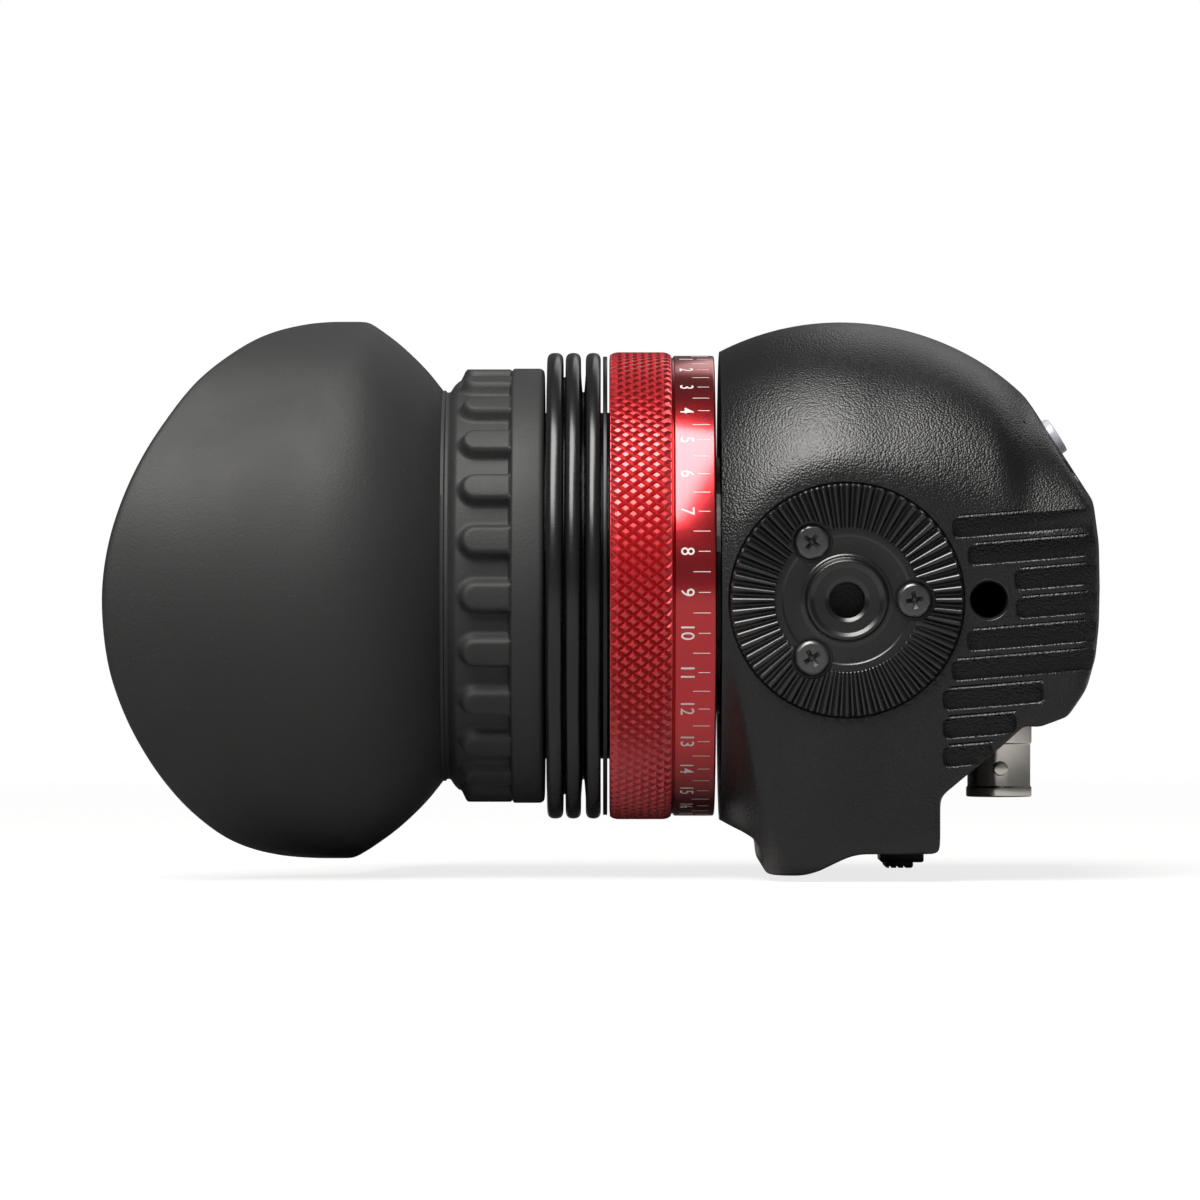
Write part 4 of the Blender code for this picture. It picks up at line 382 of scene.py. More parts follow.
def add_node(tree, kind, **values):
    """A node with properties set by name, and input sockets set by 'in_' and their name or number."""
    node = tree.nodes.new(kind)
    for name, value in values.items():
        if not name.startswith("in_"):
            setattr(node, name, value)
            continue
        socket = name[3:].replace("_", " ")
        node.inputs[int(socket) if socket.isdigit() else socket].default_value = value
    return node


def math_node(tree, operation, **values):
    return add_node(tree, "ShaderNodeMath", operation=operation, **values)


def colour_mix(tree, first, second):
    """A node that mixes two plain colours."""
    return add_node(tree, "ShaderNodeMix", data_type="RGBA", in_A=(*first, 1.0), in_B=(*second, 1.0))


def group_node(tree, group, **values):
    return add_node(tree, "ShaderNodeGroup", node_tree=group, **values)


def node_group(name, entry, outputs):
    """A new shader group that takes one number and gives several, with its entry and exit."""
    group = bpy.data.node_groups.new(name, "ShaderNodeTree")
    group.interface.new_socket(entry, in_out="INPUT", socket_type="NodeSocketFloat")
    for output in outputs:
        group.interface.new_socket(output, in_out="OUTPUT", socket_type="NodeSocketFloat")
    return group, group.nodes.new("NodeGroupInput"), group.nodes.new("NodeGroupOutput")


def pebble_group():
    """Fine raised pebbles, as of textured paint: a height and a tint that varies a little."""
    name = "fine_pebbles"
    if name in bpy.data.node_groups:
        return bpy.data.node_groups[name]
    group, enter, leave = node_group(name, "Scale", ("Height", "Tint"))
    place = add_node(group, "ShaderNodeTexCoord")
    cells = add_node(group, "ShaderNodeTexVoronoi", feature="SMOOTH_F1", in_Smoothness=0.2)
    grain = add_node(group, "ShaderNodeTexNoise", in_Detail=4.0, in_Roughness=0.65)
    wide = add_node(group, "ShaderNodeTexNoise", in_Scale=60.0, in_Detail=3.0)
    fine = math_node(group, "MULTIPLY", in_1=0.35)
    both = math_node(group, "MULTIPLY_ADD", in_1=-1.0)
    wire(group, *[(place, "Object", texture, "Vector") for texture in (cells, grain, wide)],
         (enter, "Scale", cells, "Scale"), (enter, "Scale", grain, "Scale"), (cells, "Distance", both, 0),
         (grain, "Fac", fine, 0), (fine, 0, both, 2), (both, 0, leave, "Height"), (wide, "Fac", leave, "Tint"))
    return group


def dust_group():
    """Sparse pale specks and wide soft smudges, as masks."""
    name = "dust_and_smudges"
    if name in bpy.data.node_groups:
        return bpy.data.node_groups[name]
    group, enter, leave = node_group(name, "Speck Amount", ("Specks", "Smudges"))
    place = add_node(group, "ShaderNodeTexCoord")
    cells = add_node(group, "ShaderNodeTexVoronoi", in_Scale=1500.0)
    near = math_node(group, "LESS_THAN", in_1=0.16)
    keep = add_node(group, "ShaderNodeSeparateColor")
    chosen = math_node(group, "LESS_THAN")
    specks = math_node(group, "MULTIPLY")
    smudge = add_node(group, "ShaderNodeTexNoise", in_Scale=45.0, in_Detail=4.0, in_Distortion=0.6)
    spread = add_node(group, "ShaderNodeMapRange", in_From_Min=0.35, in_From_Max=0.7)
    wire(group, (place, "Object", cells, "Vector"), (place, "Object", smudge, "Vector"), (cells, "Distance", near, 0),
         (cells, "Color", keep, "Color"), (keep, 0, chosen, 0), (enter, "Speck Amount", chosen, 1),
         (near, 0, specks, 0), (chosen, 0, specks, 1), (smudge, "Fac", spread, "Value"),
         (specks, 0, leave, "Specks"), (spread, 0, leave, "Smudges"))
    return group


def new_material(name, **sockets):
    """A material, its tree and its Principled shader, whose plain values are set by socket name."""
    material = bpy.data.materials.new(name + "_finish")
    material.use_nodes = True
    tree = material.node_tree
    shader = tree.nodes["Principled BSDF"]
    for socket, value in sockets.items():
        shader.inputs[socket.replace("_", " ")].default_value = value
    return material, tree, shader


def grained(name, base, tint, roughness, spread, pebble, bump, specks, **sockets):
    """A finish with pebbles in its bump, a base colour that drifts, smudged roughness and dust specks."""
    material, tree, shader = new_material(name, **sockets)
    pebbles = group_node(tree, pebble_group(), in_Scale=pebble)
    dust = group_node(tree, dust_group(), in_Speck_Amount=specks)
    shade = colour_mix(tree, [c * (1 - tint) for c in base], [c * (1 + tint) for c in base])
    speckled = add_node(tree, "ShaderNodeMix", data_type="RGBA",
                        in_B=(*[min(1.0, c * 1.6 + 0.008) for c in base], 1.0))
    gloss = add_node(tree, "ShaderNodeMapRange", in_To_Min=roughness - spread, in_To_Max=roughness + spread)
    relief = add_node(tree, "ShaderNodeBump", in_Strength=bump, in_Distance=0.3 * MM)
    wire(tree, (pebbles, "Tint", shade, "Factor"), (shade, "Result", speckled, "A"),
         (dust, "Specks", speckled, "Factor"), (speckled, "Result", shader, "Base Color"),
         (dust, "Smudges", gloss, "Value"), (gloss, "Result", shader, "Roughness"),
         (pebbles, "Height", relief, "Height"), (relief, "Normal", shader, "Normal"))
    return material


def lathe_turned(name, base, roughness, pitch, centre, along, strength, metallic, ior):
    """Metal or paint over fine rings about an axis: along is 0, 1 or 2 for x, y or z."""
    material, tree, shader = new_material(name, Metallic=metallic, IOR=ior)
    place = add_node(tree, "ShaderNodeTexCoord")
    centred = add_node(tree, "ShaderNodeMapping", in_Location=[-value for value in centre])
    flat = add_node(tree, "ShaderNodeVectorMath", operation="MULTIPLY",
                    in_1=[0.0 if axis == along else 1.0 for axis in range(3)])
    radius = add_node(tree, "ShaderNodeVectorMath", operation="LENGTH")
    turns = math_node(tree, "MULTIPLY", in_1=1 / pitch)
    rings = add_node(tree, "ShaderNodeTexNoise", noise_dimensions="1D", in_Scale=1.0, in_Detail=3.0)
    dust = group_node(tree, dust_group())
    shade = colour_mix(tree, [c * 0.8 for c in base], [min(1.0, c * 1.2) for c in base])
    gloss = add_node(tree, "ShaderNodeMapRange", in_To_Min=roughness - 0.05, in_To_Max=roughness + 0.07)
    relief = add_node(tree, "ShaderNodeBump", in_Strength=strength, in_Distance=0.03 * MM)
    wire(tree, (place, "Object", centred, "Vector"), (centred, "Vector", flat, 0), (flat, "Vector", radius, 0),
         (radius, "Value", turns, 0), (turns, 0, rings, "W"), (rings, "Fac", relief, "Height"),
         (relief, "Normal", shader, "Normal"), (rings, "Fac", shade, "Factor"),
         (shade, "Result", shader, "Base Color"), (dust, "Smudges", gloss, "Value"),
         (gloss, "Result", shader, "Roughness"))
    return material


def lens_glass(name):
    """Clear glass under a violet coating, bluer where it is seen at a slant."""
    material, tree, shader = new_material(name, Roughness=0.01, IOR=1.5, Transmission_Weight=1.0, Coat_Weight=0.6,
                                          Coat_Roughness=0.02, Coat_IOR=1.7, Coat_Tint=(0.55, 0.45, 0.95, 1.0))
    edge = add_node(tree, "ShaderNodeLayerWeight", in_Blend=0.3)
    tint = colour_mix(tree, (0.93, 0.97, 1.0), (0.72, 0.80, 0.96))
    wire(tree, (edge, "Facing", tint, "Factor"), (tint, "Result", shader, "Base Color"))
    return material


def button_resin(name):
    """Pale grey resin, smudged by fingers."""
    material, tree, shader = new_material(name, IOR=1.46)
    dust = group_node(tree, dust_group())
    gloss = add_node(tree, "ShaderNodeMapRange", in_To_Min=0.22, in_To_Max=0.34)
    shade = colour_mix(tree, (0.40, 0.41, 0.46), (0.48, 0.49, 0.54))
    wire(tree, (dust, "Smudges", gloss, "Value"), (dust, "Smudges", shade, "Factor"),
         (gloss, "Result", shader, "Roughness"), (shade, "Result", shader, "Base Color"))
    return material


JACK_LOW, JACK_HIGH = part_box("bnc_jack")
JACK_PLACE = Vector(((JACK_LOW[0] + JACK_HIGH[0]) / 2, (JACK_LOW[1] + JACK_HIGH[1]) / 2, JACK_LOW[2]))

# Each as: base colour, tint, roughness, its spread, scale of the pebbles, strength of their bump, share of
# specks. A word stands for the setting of that name.
GRAINED = {
    "body_paint": ("paint", 0.15, "paint_roughness", 0.04, 3300.0, 0.24, 0.0),
    "eyecup_rubber": ("rubber", 0.12, "rubber_roughness", 0.05, 2600.0, 0.07, 0.12),
    "bellows_rubber": ("bellows", 0.1, 0.27, 0.05, 5200.0, 0.02, 0.01),
    "red_anodised": ("red", 0.08, 0.24, 0.04, 6500.0, 0.015, 0.0),
    "red_knurled": ("red", 0.08, 0.46, 0.04, 6500.0, 0.015, 0.0),
    "black_plastic": ((0.018, 0.018, 0.019), 0.12, 0.42, 0.05, 3200.0, 0.08, 0.01),
    "dark_steel": ((0.022, 0.022, 0.023), 0.1, 0.3, 0.06, 5200.0, 0.02, 0.0),
    "circuit_board": ((0.012, 0.10, 0.04), 0.25, 0.4, 0.08, 2600.0, 0.1, 0.02),
    "screen_black": ((0.006, 0.006, 0.009), 0.1, 0.08, 0.03, 2600.0, 0.01, 0.0),
    "printed_white": ("marks", 0.04, 0.5, 0.05, 5200.0, 0.03, 0.0),
    "white_insulator": ((0.75, 0.74, 0.70), 0.05, 0.45, 0.05, 3600.0, 0.05, 0.0),
    "bright_edge": ((0.45, 0.45, 0.46), 0.1, 0.25, 0.05, 5200.0, 0.05, 0.0),
}
GRAINED_SOCKETS = {
    "red_anodised": {"Metallic": 1.0, "Coat_Weight": 0.75, "Coat_Roughness": 0.16, "Coat_IOR": 1.65},
    "red_knurled": {"Metallic": 1.0, "Coat_Weight": 1.0, "Coat_Roughness": 0.28, "Coat_IOR": 1.65},
    "dark_steel": {"IOR": 1.9},
    "screen_black": {"Coat_Weight": 1.0},
    "bright_edge": {"Metallic": 1.0},
}
# Each as: base colour, roughness, pitch of the rings, their centre and axis, strength of the bump, metallic, IOR
TURNED = {
    "rosette_black": ("anodised", 0.24, 0.12 * MM, (0, 0, 0), 1, 0.3, 0.0, 1.65),
    "barrel_black": ("anodised", 0.36, 0.2 * MM, AXIS, 0, 0.2, 0.0, 1.7),
    "flange_grey": ((0.03, 0.03, 0.033), 0.36, 0.1 * MM, AXIS, 0, 0.2, 1.0, 1.5),
    "jack_nickel": ("nickel", 0.16, 0.15 * MM, JACK_PLACE, 2, 0.15, 1.0, 1.5),
}
SINGLE = {"lens_glass": lens_glass, "button_resin": button_resin}


def settled(values):
    """Values in which each word is replaced by the finish setting of that name."""
    return [getattr(sizes("finish"), value) if isinstance(value, str) else value for value in values]


def finish(name):
    """The material of a name, which is made when it is first asked for."""
    found = bpy.data.materials.get(name + "_finish")
    if found:
        return found
    if name in GRAINED:
        return grained(name, *settled(GRAINED[name]), **GRAINED_SOCKETS.get(name, {}))
    if name in TURNED:
        return lathe_turned(name, *settled(TURNED[name]))
    return SINGLE[name](name)


# Body

FACET_TOP = Vector((25.604, 26.603)) * MM
FACET_FOOT = Vector((35.113, 11.914)) * MM
FACET_ALONG = (FACET_FOOT - FACET_TOP).normalized()
FACET_OUT = Vector((-FACET_ALONG.y, FACET_ALONG.x))
FRONT = ((35.89, 6.11), (36.0, 0.0), (35.89, -5.0), (35.41, -9.51))
CHIN = ((34.30, -13.5), (32.0, -16.85), (28.12, -18.28), (25.90, -18.2))
BOX_LEFT, BOX_RIGHT = -11.6 * MM, 12.84 * MM
BAY = (Vector((-10.03, -24.5, -33.6)) * MM, Vector((11.27, 41.0, 5.5)) * MM)
PLATE_HALF = 26.0 * MM
PLATE_DEPTH = 2.8 * MM
PLATE_SEAM = 0.004 * MM
PLATE_OVERRUN = 8 * MM
BUTTON_SHARE = 0.40
POST_Y = 19.4 * MM
HALF_WIDTH = 33.05 * MM
BOX_WIDTH = 33.9 * MM
BOX_SOFTNESS = 1.5 * MM
BOX_FROM, BOX_RUN = -8.0 * MM, 26.0 * MM
BELLY_DEPTH, BELLY_RUN = 44.0 * MM, 9.0 * MM
DOME_FROM = 4.0 * MM
FLAT_SOFTNESS = 0.5 * MM
SECOND_HOLE_X = 19.4 * MM
JOYSTICK_Z = 1.11 * MM
CROWN_FROM, CROWN_RUN = 20 * MM, 8 * MM
BELLY_TOP = -13 * MM
LAST_SKIN_X, RAY_START = 32.6 * MM, 60 * MM
BELLY_SKIN, LEAST_SKIN, USUAL_SKIN = 32.95 * MM, 32.2 * MM, 32.9 * MM


def smooth_share(value):
    value = max(0.0, min(1.0, value))
    return value * value * (3 - 2 * value)


def soft_limit(value, limit, softness):
    """The value, held under a limit with a soft bend."""
    low = min(value, limit)
    return low - softness * log(exp((low - value) / softness) + exp((low - limit) / softness))


def section_arc(width, height, power, half_width, steps, side):
    """Half of a section, upper for side 1 and lower for side -1, held within a half width."""
    points = []
    for step in range(steps):
        angle = pi * step / steps
        across = soft_limit(width * abs(cos(angle)) ** (2 / power), half_width, FLAT_SOFTNESS)
        across = copysign(max(across, 0.0), cos(angle))
        points.append((side * across, side * height * sin(angle) ** (2 / power)))
    return points


def body_section(x, inset, steps):
    """A closed section of the body across the axis: a dome above, a boxier belly below."""
    size = sizes("body")
    radius = size.ball_radius - inset
    corner = size.front_rounding
    over = max(0.0, min(x - (size.front_x - inset - corner), corner * 0.98))
    half_width = HALF_WIDTH - inset - (corner - sqrt(corner ** 2 - over ** 2))
    height = sqrt(max(radius ** 2 - x ** 2, (radius / 4) ** 2))
    if x > FACET_TOP.x:
        height = sqrt(radius ** 2 - FACET_TOP.x ** 2) - (x - FACET_TOP.x) * FACET_ALONG.x
    front = smooth_share((x - DOME_FROM) / (FACET_TOP.x - DOME_FROM))
    round_width = sqrt(max(radius ** 2 - x ** 2, 0.0))
    box_width = -soft_limit(-round_width, inset - BOX_WIDTH, BOX_SOFTNESS)
    width = round_width + (box_width - round_width) * smooth_share((x - BOX_FROM) / BOX_RUN)
    low = smooth_share((x - size.face_x) / BELLY_RUN)
    belly_depth = height + (BELLY_DEPTH - inset - height) * low
    return (section_arc(width, height, 2 + 0.5 * front, half_width, steps, 1)
            + section_arc(width, belly_depth, 2 + 3 * low, half_width, steps, -1))


def body_loft(inset, start, end, columns, rows):
    """The body without its cuts, or its inside at an inset, from one place along the axis to another."""
    stations = [start + (end - start) * row / rows for row in range(rows + 1)]
    return lofted([[Vector((x, y, z)) for y, z in body_section(x, inset, columns // 2)] for x in stations])


def side_outline():
    """The body seen from its side, clockwise from above the slanted facet."""
    points = [FACET_TOP - FACET_ALONG * 22 * MM, FACET_TOP, FACET_FOOT]
    points += [Vector(point) * MM for point in FRONT + CHIN]
    points += [Vector(point) * MM for point in (
        (13.10, -28.75), (12.84, -29.3), (12.84, -36.3), (12.35, -36.8), (1.9, -36.8), (0.01, -37.3), (-2.07, -38.33),
        (-4.02, -39.3), (-5.98, -39.79), (-10.38, -39.85), (-11.0, -39.5), (-11.45, -38.6), (-11.6, -37.6),
        (-11.62, -36.2), (-12.0, -35.35), (-12.76, -34.73), (-13.9, -34.2), (-15.66, -33.52), (-18.7, -31.9),
        (-25.0, -31.9))]
    points.append(Vector((-25.0 * MM, points[0].y)))
    return points


def front_layer(depth, top_share, bottom_drop, overrun):
    """A bent sheet along the slanted facet and the front face, as an outline."""
    start = FACET_TOP + (FACET_FOOT - FACET_TOP) * top_share
    end = Vector(FRONT[-1]) * MM + Vector((0.0, bottom_drop))
    corner_out = (FACET_OUT + Vector((1.0, 0.0))).normalized()
    stretch = 1 / corner_out.dot(FACET_OUT)
    line = ((start, FACET_OUT, 1.0), (FACET_FOOT, corner_out, stretch), (end, Vector((1.0, 0.0)), 1.0))
    outer = [place + out * overrun * scale for place, out, scale in line]
    inner = [place - out * depth * scale for place, out, scale in reversed(line)]
    return outer + inner


GROOVE_STARTS = (14.4, 16.5, 22.9, 23.1, 16.4, 14.3, 13.1, 13.1, 13.1)
GROOVE_ENDS = (44.0, 44.0, 44.0, 44.0, 44.0, 44.0, 26.8, 23.1, 20.0)
GROOVE_TOP = 9.05
GROOVE_SLOPE = radians(4.7)
GROOVE_ROUNDING = 1.0 * MM
GROOVE_LIP, GROOVE_LIP_DEPTH = 0.16 * MM, 0.14 * MM
GROOVE_STEPS = 24
# Section of the fine line above a groove: depth under the skin, and place down from the groove's middle
GROOVE_LINE = ((-5.0, -1.92), (-0.1, -1.86), (0.17, -1.72), (-0.03, -1.42), (-5.0, -1.42))
GROOVE_LINE_SETBACK = 0.9 * MM


def groove_cutters(skin):
    """Rounded grooves with a fine line along their upper edge, on both sides. Skin gives where a side stands."""
    size = sizes("body")
    along = Vector((cos(GROOVE_SLOPE), sin(GROOVE_SLOPE)))
    down = Vector((sin(GROOVE_SLOPE), -cos(GROOVE_SLOPE)))
    deep = size.groove_depth
    levels = ((deep, -0.6 * MM), (deep - 0.12 * MM, -0.25 * MM), (deep - 0.5 * MM, -0.03 * MM),
              (GROOVE_LIP_DEPTH, 0.0), (-0.02 * MM, GROOVE_LIP), (-5.0 * MM, GROOVE_LIP))
    cutters = []

    def under_skin(place, side, depth):
        return Vector((place.x, skin(place.x, place.y, side) - side * depth, place.y))

    def grown(point, middle, grow):
        """A point of the outline moved away from the middle, and less so above."""
        offset = point - middle
        u = offset.dot(along)
        v = offset.dot(down)
        flare = grow if v > 0 or grow < 0 else grow * 0.3
        u += copysign(grow, u)
        v += copysign(flare, v) * min(1.0, abs(v) / (size.groove_height * 0.3))
        return middle + along * u + down * v

    for number, (start, end) in enumerate(zip(GROOVE_STARTS, GROOVE_ENDS)):
        rise = (start - GROOVE_STARTS[0]) * MM * along.y / along.x
        top = Vector((start * MM, GROOVE_TOP * MM - number * size.groove_pitch + rise))
        reach = (end - start) * MM
        corners = [top, top + along * reach, top + along * reach + down * size.groove_height,
                   top + down * size.groove_height]
        outline = softened(corners, GROOVE_ROUNDING, 6)
        middle = top + along * reach / 2 + down * size.groove_height / 2
        stations = [reach * (step / GROOVE_STEPS - 0.5) for step in range(GROOVE_STEPS + 1)]
        line_start = stations[0] + GROOVE_LINE_SETBACK
        for side in (-1, 1):
            cutters.append(lofted([[under_skin(grown(point, middle, grow), side, depth) for point in outline]
                                   for depth, grow in levels]))
            cutters.append(lofted([[under_skin(middle + along * max(u, line_start) + down * v * MM, side, depth * MM)
                                    for depth, v in GROOVE_LINE] for u in stations]))
    return cutters


def crown(across):
    """How far the front and the facet fall back at a distance from the middle."""
    return across ** 2 / (2 * sizes("body").front_crown)


def facet_point(part, across, depth):
    """A place on the slanted facet: a share of the way down it, across the body, and under it."""
    flat = FACET_TOP + (FACET_FOOT - FACET_TOP) * part - FACET_OUT * depth
    return Vector((flat.x, across, flat.y))


def button_rows():
    """Where the buttons stand across the body, as the CAD has them."""
    rows = []
    for index in range(4):
        low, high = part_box(f"function_button_{index + 1}")
        rows.append((low[1] + high[1]) / 2 - AXIS.y)
    return rows


# Radius and height of the head, radius and length of the shank
ROSETTE_SCREW = (2.5, 1.0, 1.2, 4.6)
PLATE_SCREW = (1.8, 1.1, 0.9, 3.6)
ROSETTE_SCREW_ANGLES = (0.0, 121.0, 239.0)
ROSETTE_SCREW_CIRCLE = 9.25 * MM
SCREW_MARGIN = 0.3 * MM


def plate_screw_seats():
    """Head centres and outward directions of the four plate screws, as the CAD has them."""
    across = PLATE_HALF - 2.2 * MM
    facet_out = Vector((FACET_OUT.x, 0.0, FACET_OUT.y))
    seats = []
    for side in (-1, 1):
        seats.append((facet_point(0.70, side * across, 0.3 * MM + crown(across)), facet_out))
        lower = Vector((35.11 * MM - crown(across) * FACET_OUT.x, side * across, -7.51 * MM))
        seats.append((lower, Vector((1, 0, 0))))
    return seats


def rosette_screw_seats():
    """Head centres and outward directions of the rosette's three screws."""
    seats = []
    for angle in ROSETTE_SCREW_ANGLES:
        turn = radians(angle)
        seats.append((Vector((ROSETTE_SCREW_CIRCLE * cos(turn), -33.5 * MM,
                              ROSETTE_Z + ROSETTE_SCREW_CIRCLE * sin(turn))), Vector((0, -1, 0))))
    return seats


def screw_bores(seats, kind):
    """For each seat, a counterbore with a clearance hole below it."""
    head_radius, head_height, shank_radius, shank_length = [value * MM for value in kind]
    bores = []
    for place, out in seats:
        floor = place - out * (head_height + SCREW_MARGIN)
        end = place - out * (head_height + shank_length + SCREW_MARGIN)
        bores.append(rod(place + out * 6 * MM, floor, head_radius + 0.4 * MM, 32))
        bores.append(rod(floor + out * 0.2 * MM, end, shank_radius + SCREW_MARGIN, 16))
    return bores


def across_rod(x, start, end, radius, steps):
    """A rod across the body at the rosette's height. Its ends and radius are in millimetres."""
    return rod((x, start * MM, ROSETTE_Z), (x, end * MM, ROSETTE_Z), radius * MM, steps)


def smooth_body():
    """The body's outside as one softly rounded solid."""
    size = sizes("body")
    obj = raw_object("smooth_body", body_loft(0.0, size.face_x - 2 * MM, 38.5 * MM, 176, 72))
    profile = raw_object("profile", slab(side_outline(), -42 * MM, 42 * MM))
    cut = obj.modifiers.new("profile", "BOOLEAN")
    cut.operation = "INTERSECT"
    cut.solver = "EXACT"
    cut.object = profile
    remesh = obj.modifiers.new("remesh", "REMESH")
    remesh.mode = "VOXEL"
    remesh.voxel_size = size.voxel
    soft = obj.modifiers.new("soften", "SMOOTH")
    soft.factor = 0.5
    soft.iterations = size.soften
    mesh = baked(obj)
    bpy.data.objects.remove(profile, do_unlink=True)
    for vert in mesh.vertices:
        front = smooth_share((vert.co.x - CROWN_FROM) / CROWN_RUN)
        vert.co.x -= crown(vert.co.y) * front * FACET_OUT.x
        vert.co.z -= crown(vert.co.y) * front * FACET_OUT.y
    return mesh


def body_cutters(base):
    """Everything cut from the body: face, bays, bores, grooves and screw holes."""
    face = sizes("body").face_x
    cutters = [
        # All behind the face, and the way for the light
        block((face - 12 * MM, -45 * MM, -50 * MM), (face, 45 * MM, 50 * MM)),
        rod((face - 4 * MM, 0, 0), (-13.1 * MM, 0, 0), 18.3 * MM, 96),
        # Battery bay with the room of its contacts
        block(*BAY),
        block((-5.7 * MM, -26.4 * MM, -26.3 * MM), (6.9 * MM, -24.0 * MM, -17.7 * MM)),
        # Socket bay, and the seat of its panel
        block((BOX_RIGHT, -27.5 * MM, -50 * MM), (29.02 * MM, 27.5 * MM, -16.5 * MM)),
        block((BOX_RIGHT + 2 * MM, -25.5 * MM, -17 * MM), (28.02 * MM, 25.5 * MM, -14.5 * MM)),
        # Front plate, and the opening behind it
        slab(front_layer(PLATE_DEPTH + PLATE_SEAM, 0.0997, -PLATE_SEAM, PLATE_OVERRUN), -PLATE_HALF - PLATE_SEAM,
             PLATE_HALF + PLATE_SEAM),
        slab(front_layer(5.3 * MM, 0.16, 1.4 * MM, -0.4 * MM), -22 * MM, 22 * MM),
        # Rosette with its thread, and the second hole with its sleeve
        across_rod(0, -42, -31.0, 16.2, 128),
        across_rod(0, -42, -26.5, 2.45, 32),
        across_rod(SECOND_HOLE_X, -42, -30.0, 2.65, 48),
        across_rod(SECOND_HOLE_X, -30.4, -24.4, 4.3, 48),
        # Latch
        block((3.3 * MM, 13.7 * MM, -35.9 * MM), (11.0 * MM, 26.3 * MM, -34.4 * MM)),
        block((3.3 * MM, 15.1 * MM, -42 * MM), (11.0 * MM, 24.9 * MM, -35.6 * MM)),
    ]
    cutters += screw_bores(rosette_screw_seats(), ROSETTE_SCREW) + screw_bores(plate_screw_seats(), PLATE_SCREW)
    whole = as_bmesh(base)
    tree = BVHTree.FromBMesh(whole)
    whole.free()

    def skin(x, z, side):
        """Where the body's side stands at a place."""
        if z < BELLY_TOP:
            return side * BELLY_SKIN
        hit = tree.ray_cast(Vector((min(x, LAST_SKIN_X), side * RAY_START, z)), Vector((0, -side, 0)))[0]
        return side * max(abs(hit.y), LEAST_SKIN) if hit else side * USUAL_SKIN

    return cutters + groove_cutters(skin)


def body_cavity():
    """The room inside, round the battery bay and the bosses."""
    size = sizes("body")
    cavity = body_loft(size.wall, size.face_x + 2.6 * MM, 34.0 * MM, 64, 24)
    layer = front_layer(4.9 * MM, -1.0, -4.6 * MM, 0.0)[3:]
    floor, back = -15.0 * MM, -17 * MM
    outline = [(layer[0].x, floor)] + layer[1:] + [(back, layer[2].y), (back, floor)]
    room = carved(cavity, [slab(outline, -33 * MM, 33 * MM)], "INTERSECT")
    return carved(room, [block((BOX_LEFT, -45 * MM, -50 * MM), (BOX_RIGHT, 45 * MM, 7.1 * MM)),
                         across_rod(0, -45, -26.7, 15.9, 48), across_rod(SECOND_HOLE_X, -45, -25.1, 5.57, 24)])


class VIEWFINDER_OT_body(bpy.types.Operator):
    """Adds the pebbled body shell and the front plate let into it"""
    bl_idname = "viewfinder.body"
    bl_label = "Body"

    def execute(self, context):
        base = smooth_body()
        shell = carved_in_turn(as_bmesh(base), body_cutters(base) + [body_cavity()])
        add_piece("body_shell", shell, "body_paint", "housing", ("main_housing",), sharp=40)
        layer = slab(front_layer(PLATE_DEPTH, 0.10, 0.0, PLATE_OVERRUN), -PLATE_HALF, PLATE_HALF)
        plate = carved(as_bmesh(base), [layer], "INTERSECT")
        holes = [rod(facet_point(BUTTON_SHARE, y, -8 * MM), facet_point(BUTTON_SHARE, y, 4 * MM), 2.9 * MM, 48)
                 for y in button_rows()]
        holes.append(rod((29.0 * MM, 0, JOYSTICK_Z), (44 * MM, 0, JOYSTICK_Z), 7.5 * MM, 96))
        holes.append(rod((34.3 * MM, 0, JOYSTICK_Z), (36.5 * MM, 0, JOYSTICK_Z), 7.4 * MM, 96, end_radius=9.4 * MM))
        holes += screw_bores(plate_screw_seats(), PLATE_SCREW)
        posts = [rod(facet_point(BUTTON_SHARE, y, PLATE_DEPTH - 0.4 * MM), facet_point(BUTTON_SHARE, y, 6.6 * MM),
                     1.6 * MM, 20) for y in (-POST_Y, POST_Y)]
        plate = carved(carved(plate, posts, "UNION"), holes)
        add_piece("front_plate_skin", plate, "body_paint", "housing", ("front_plate",), sharp=40)
        bpy.data.meshes.remove(base)
        return {"FINISHED"}


# Rosette, second hole and screws

ROSETTE_FACE = -34.5 * MM
ROSETTE_INNER, ROSETTE_OUTER = 9.85 * MM, 15.9 * MM
ROSETTE_TEETH = 60
TOOTH_HEIGHT = 0.85
TOOTH_BEVEL = 0.25 * MM
# Along one tooth: how far the surface has dropped, as a share of the tooth's height, and where it has
TOOTH_DROPS = (0.0, 0.0, 0.11, 1.0, 1.0, 0.11)
TOOTH_PLACES = (-0.05, 0.05, 0.14, 0.42, 0.58, 0.86)
# The disc inside the teeth with its hub, as (depth, radius, rounding)
ROSETTE_DISC = ((1.1, 5.75, 0.2), (0.3, 5.6, 0.2), (0.0, 5.35, 0.1), (0.0, 5.05, 0.1), (0.30, 4.5, 0.1),
                (0.30, 3.05, 0.1), (0.62, 2.45, 0.1), (3.2, 2.45, 0.1), (3.2, 15.5, 0.2), (1.1, 15.5, 0.0),
                (1.1, 8.9, 0.1), (1.22, 8.7, 0.1), (1.22, 6.3, 0.1), (1.1, 6.1, 0.1))
HOLE_RIM = ((-0.02, 2.78), (0.42, 2.42), (3.0, 2.40), (3.0, 2.62), (0.5, 2.62), (-0.02, 2.95))


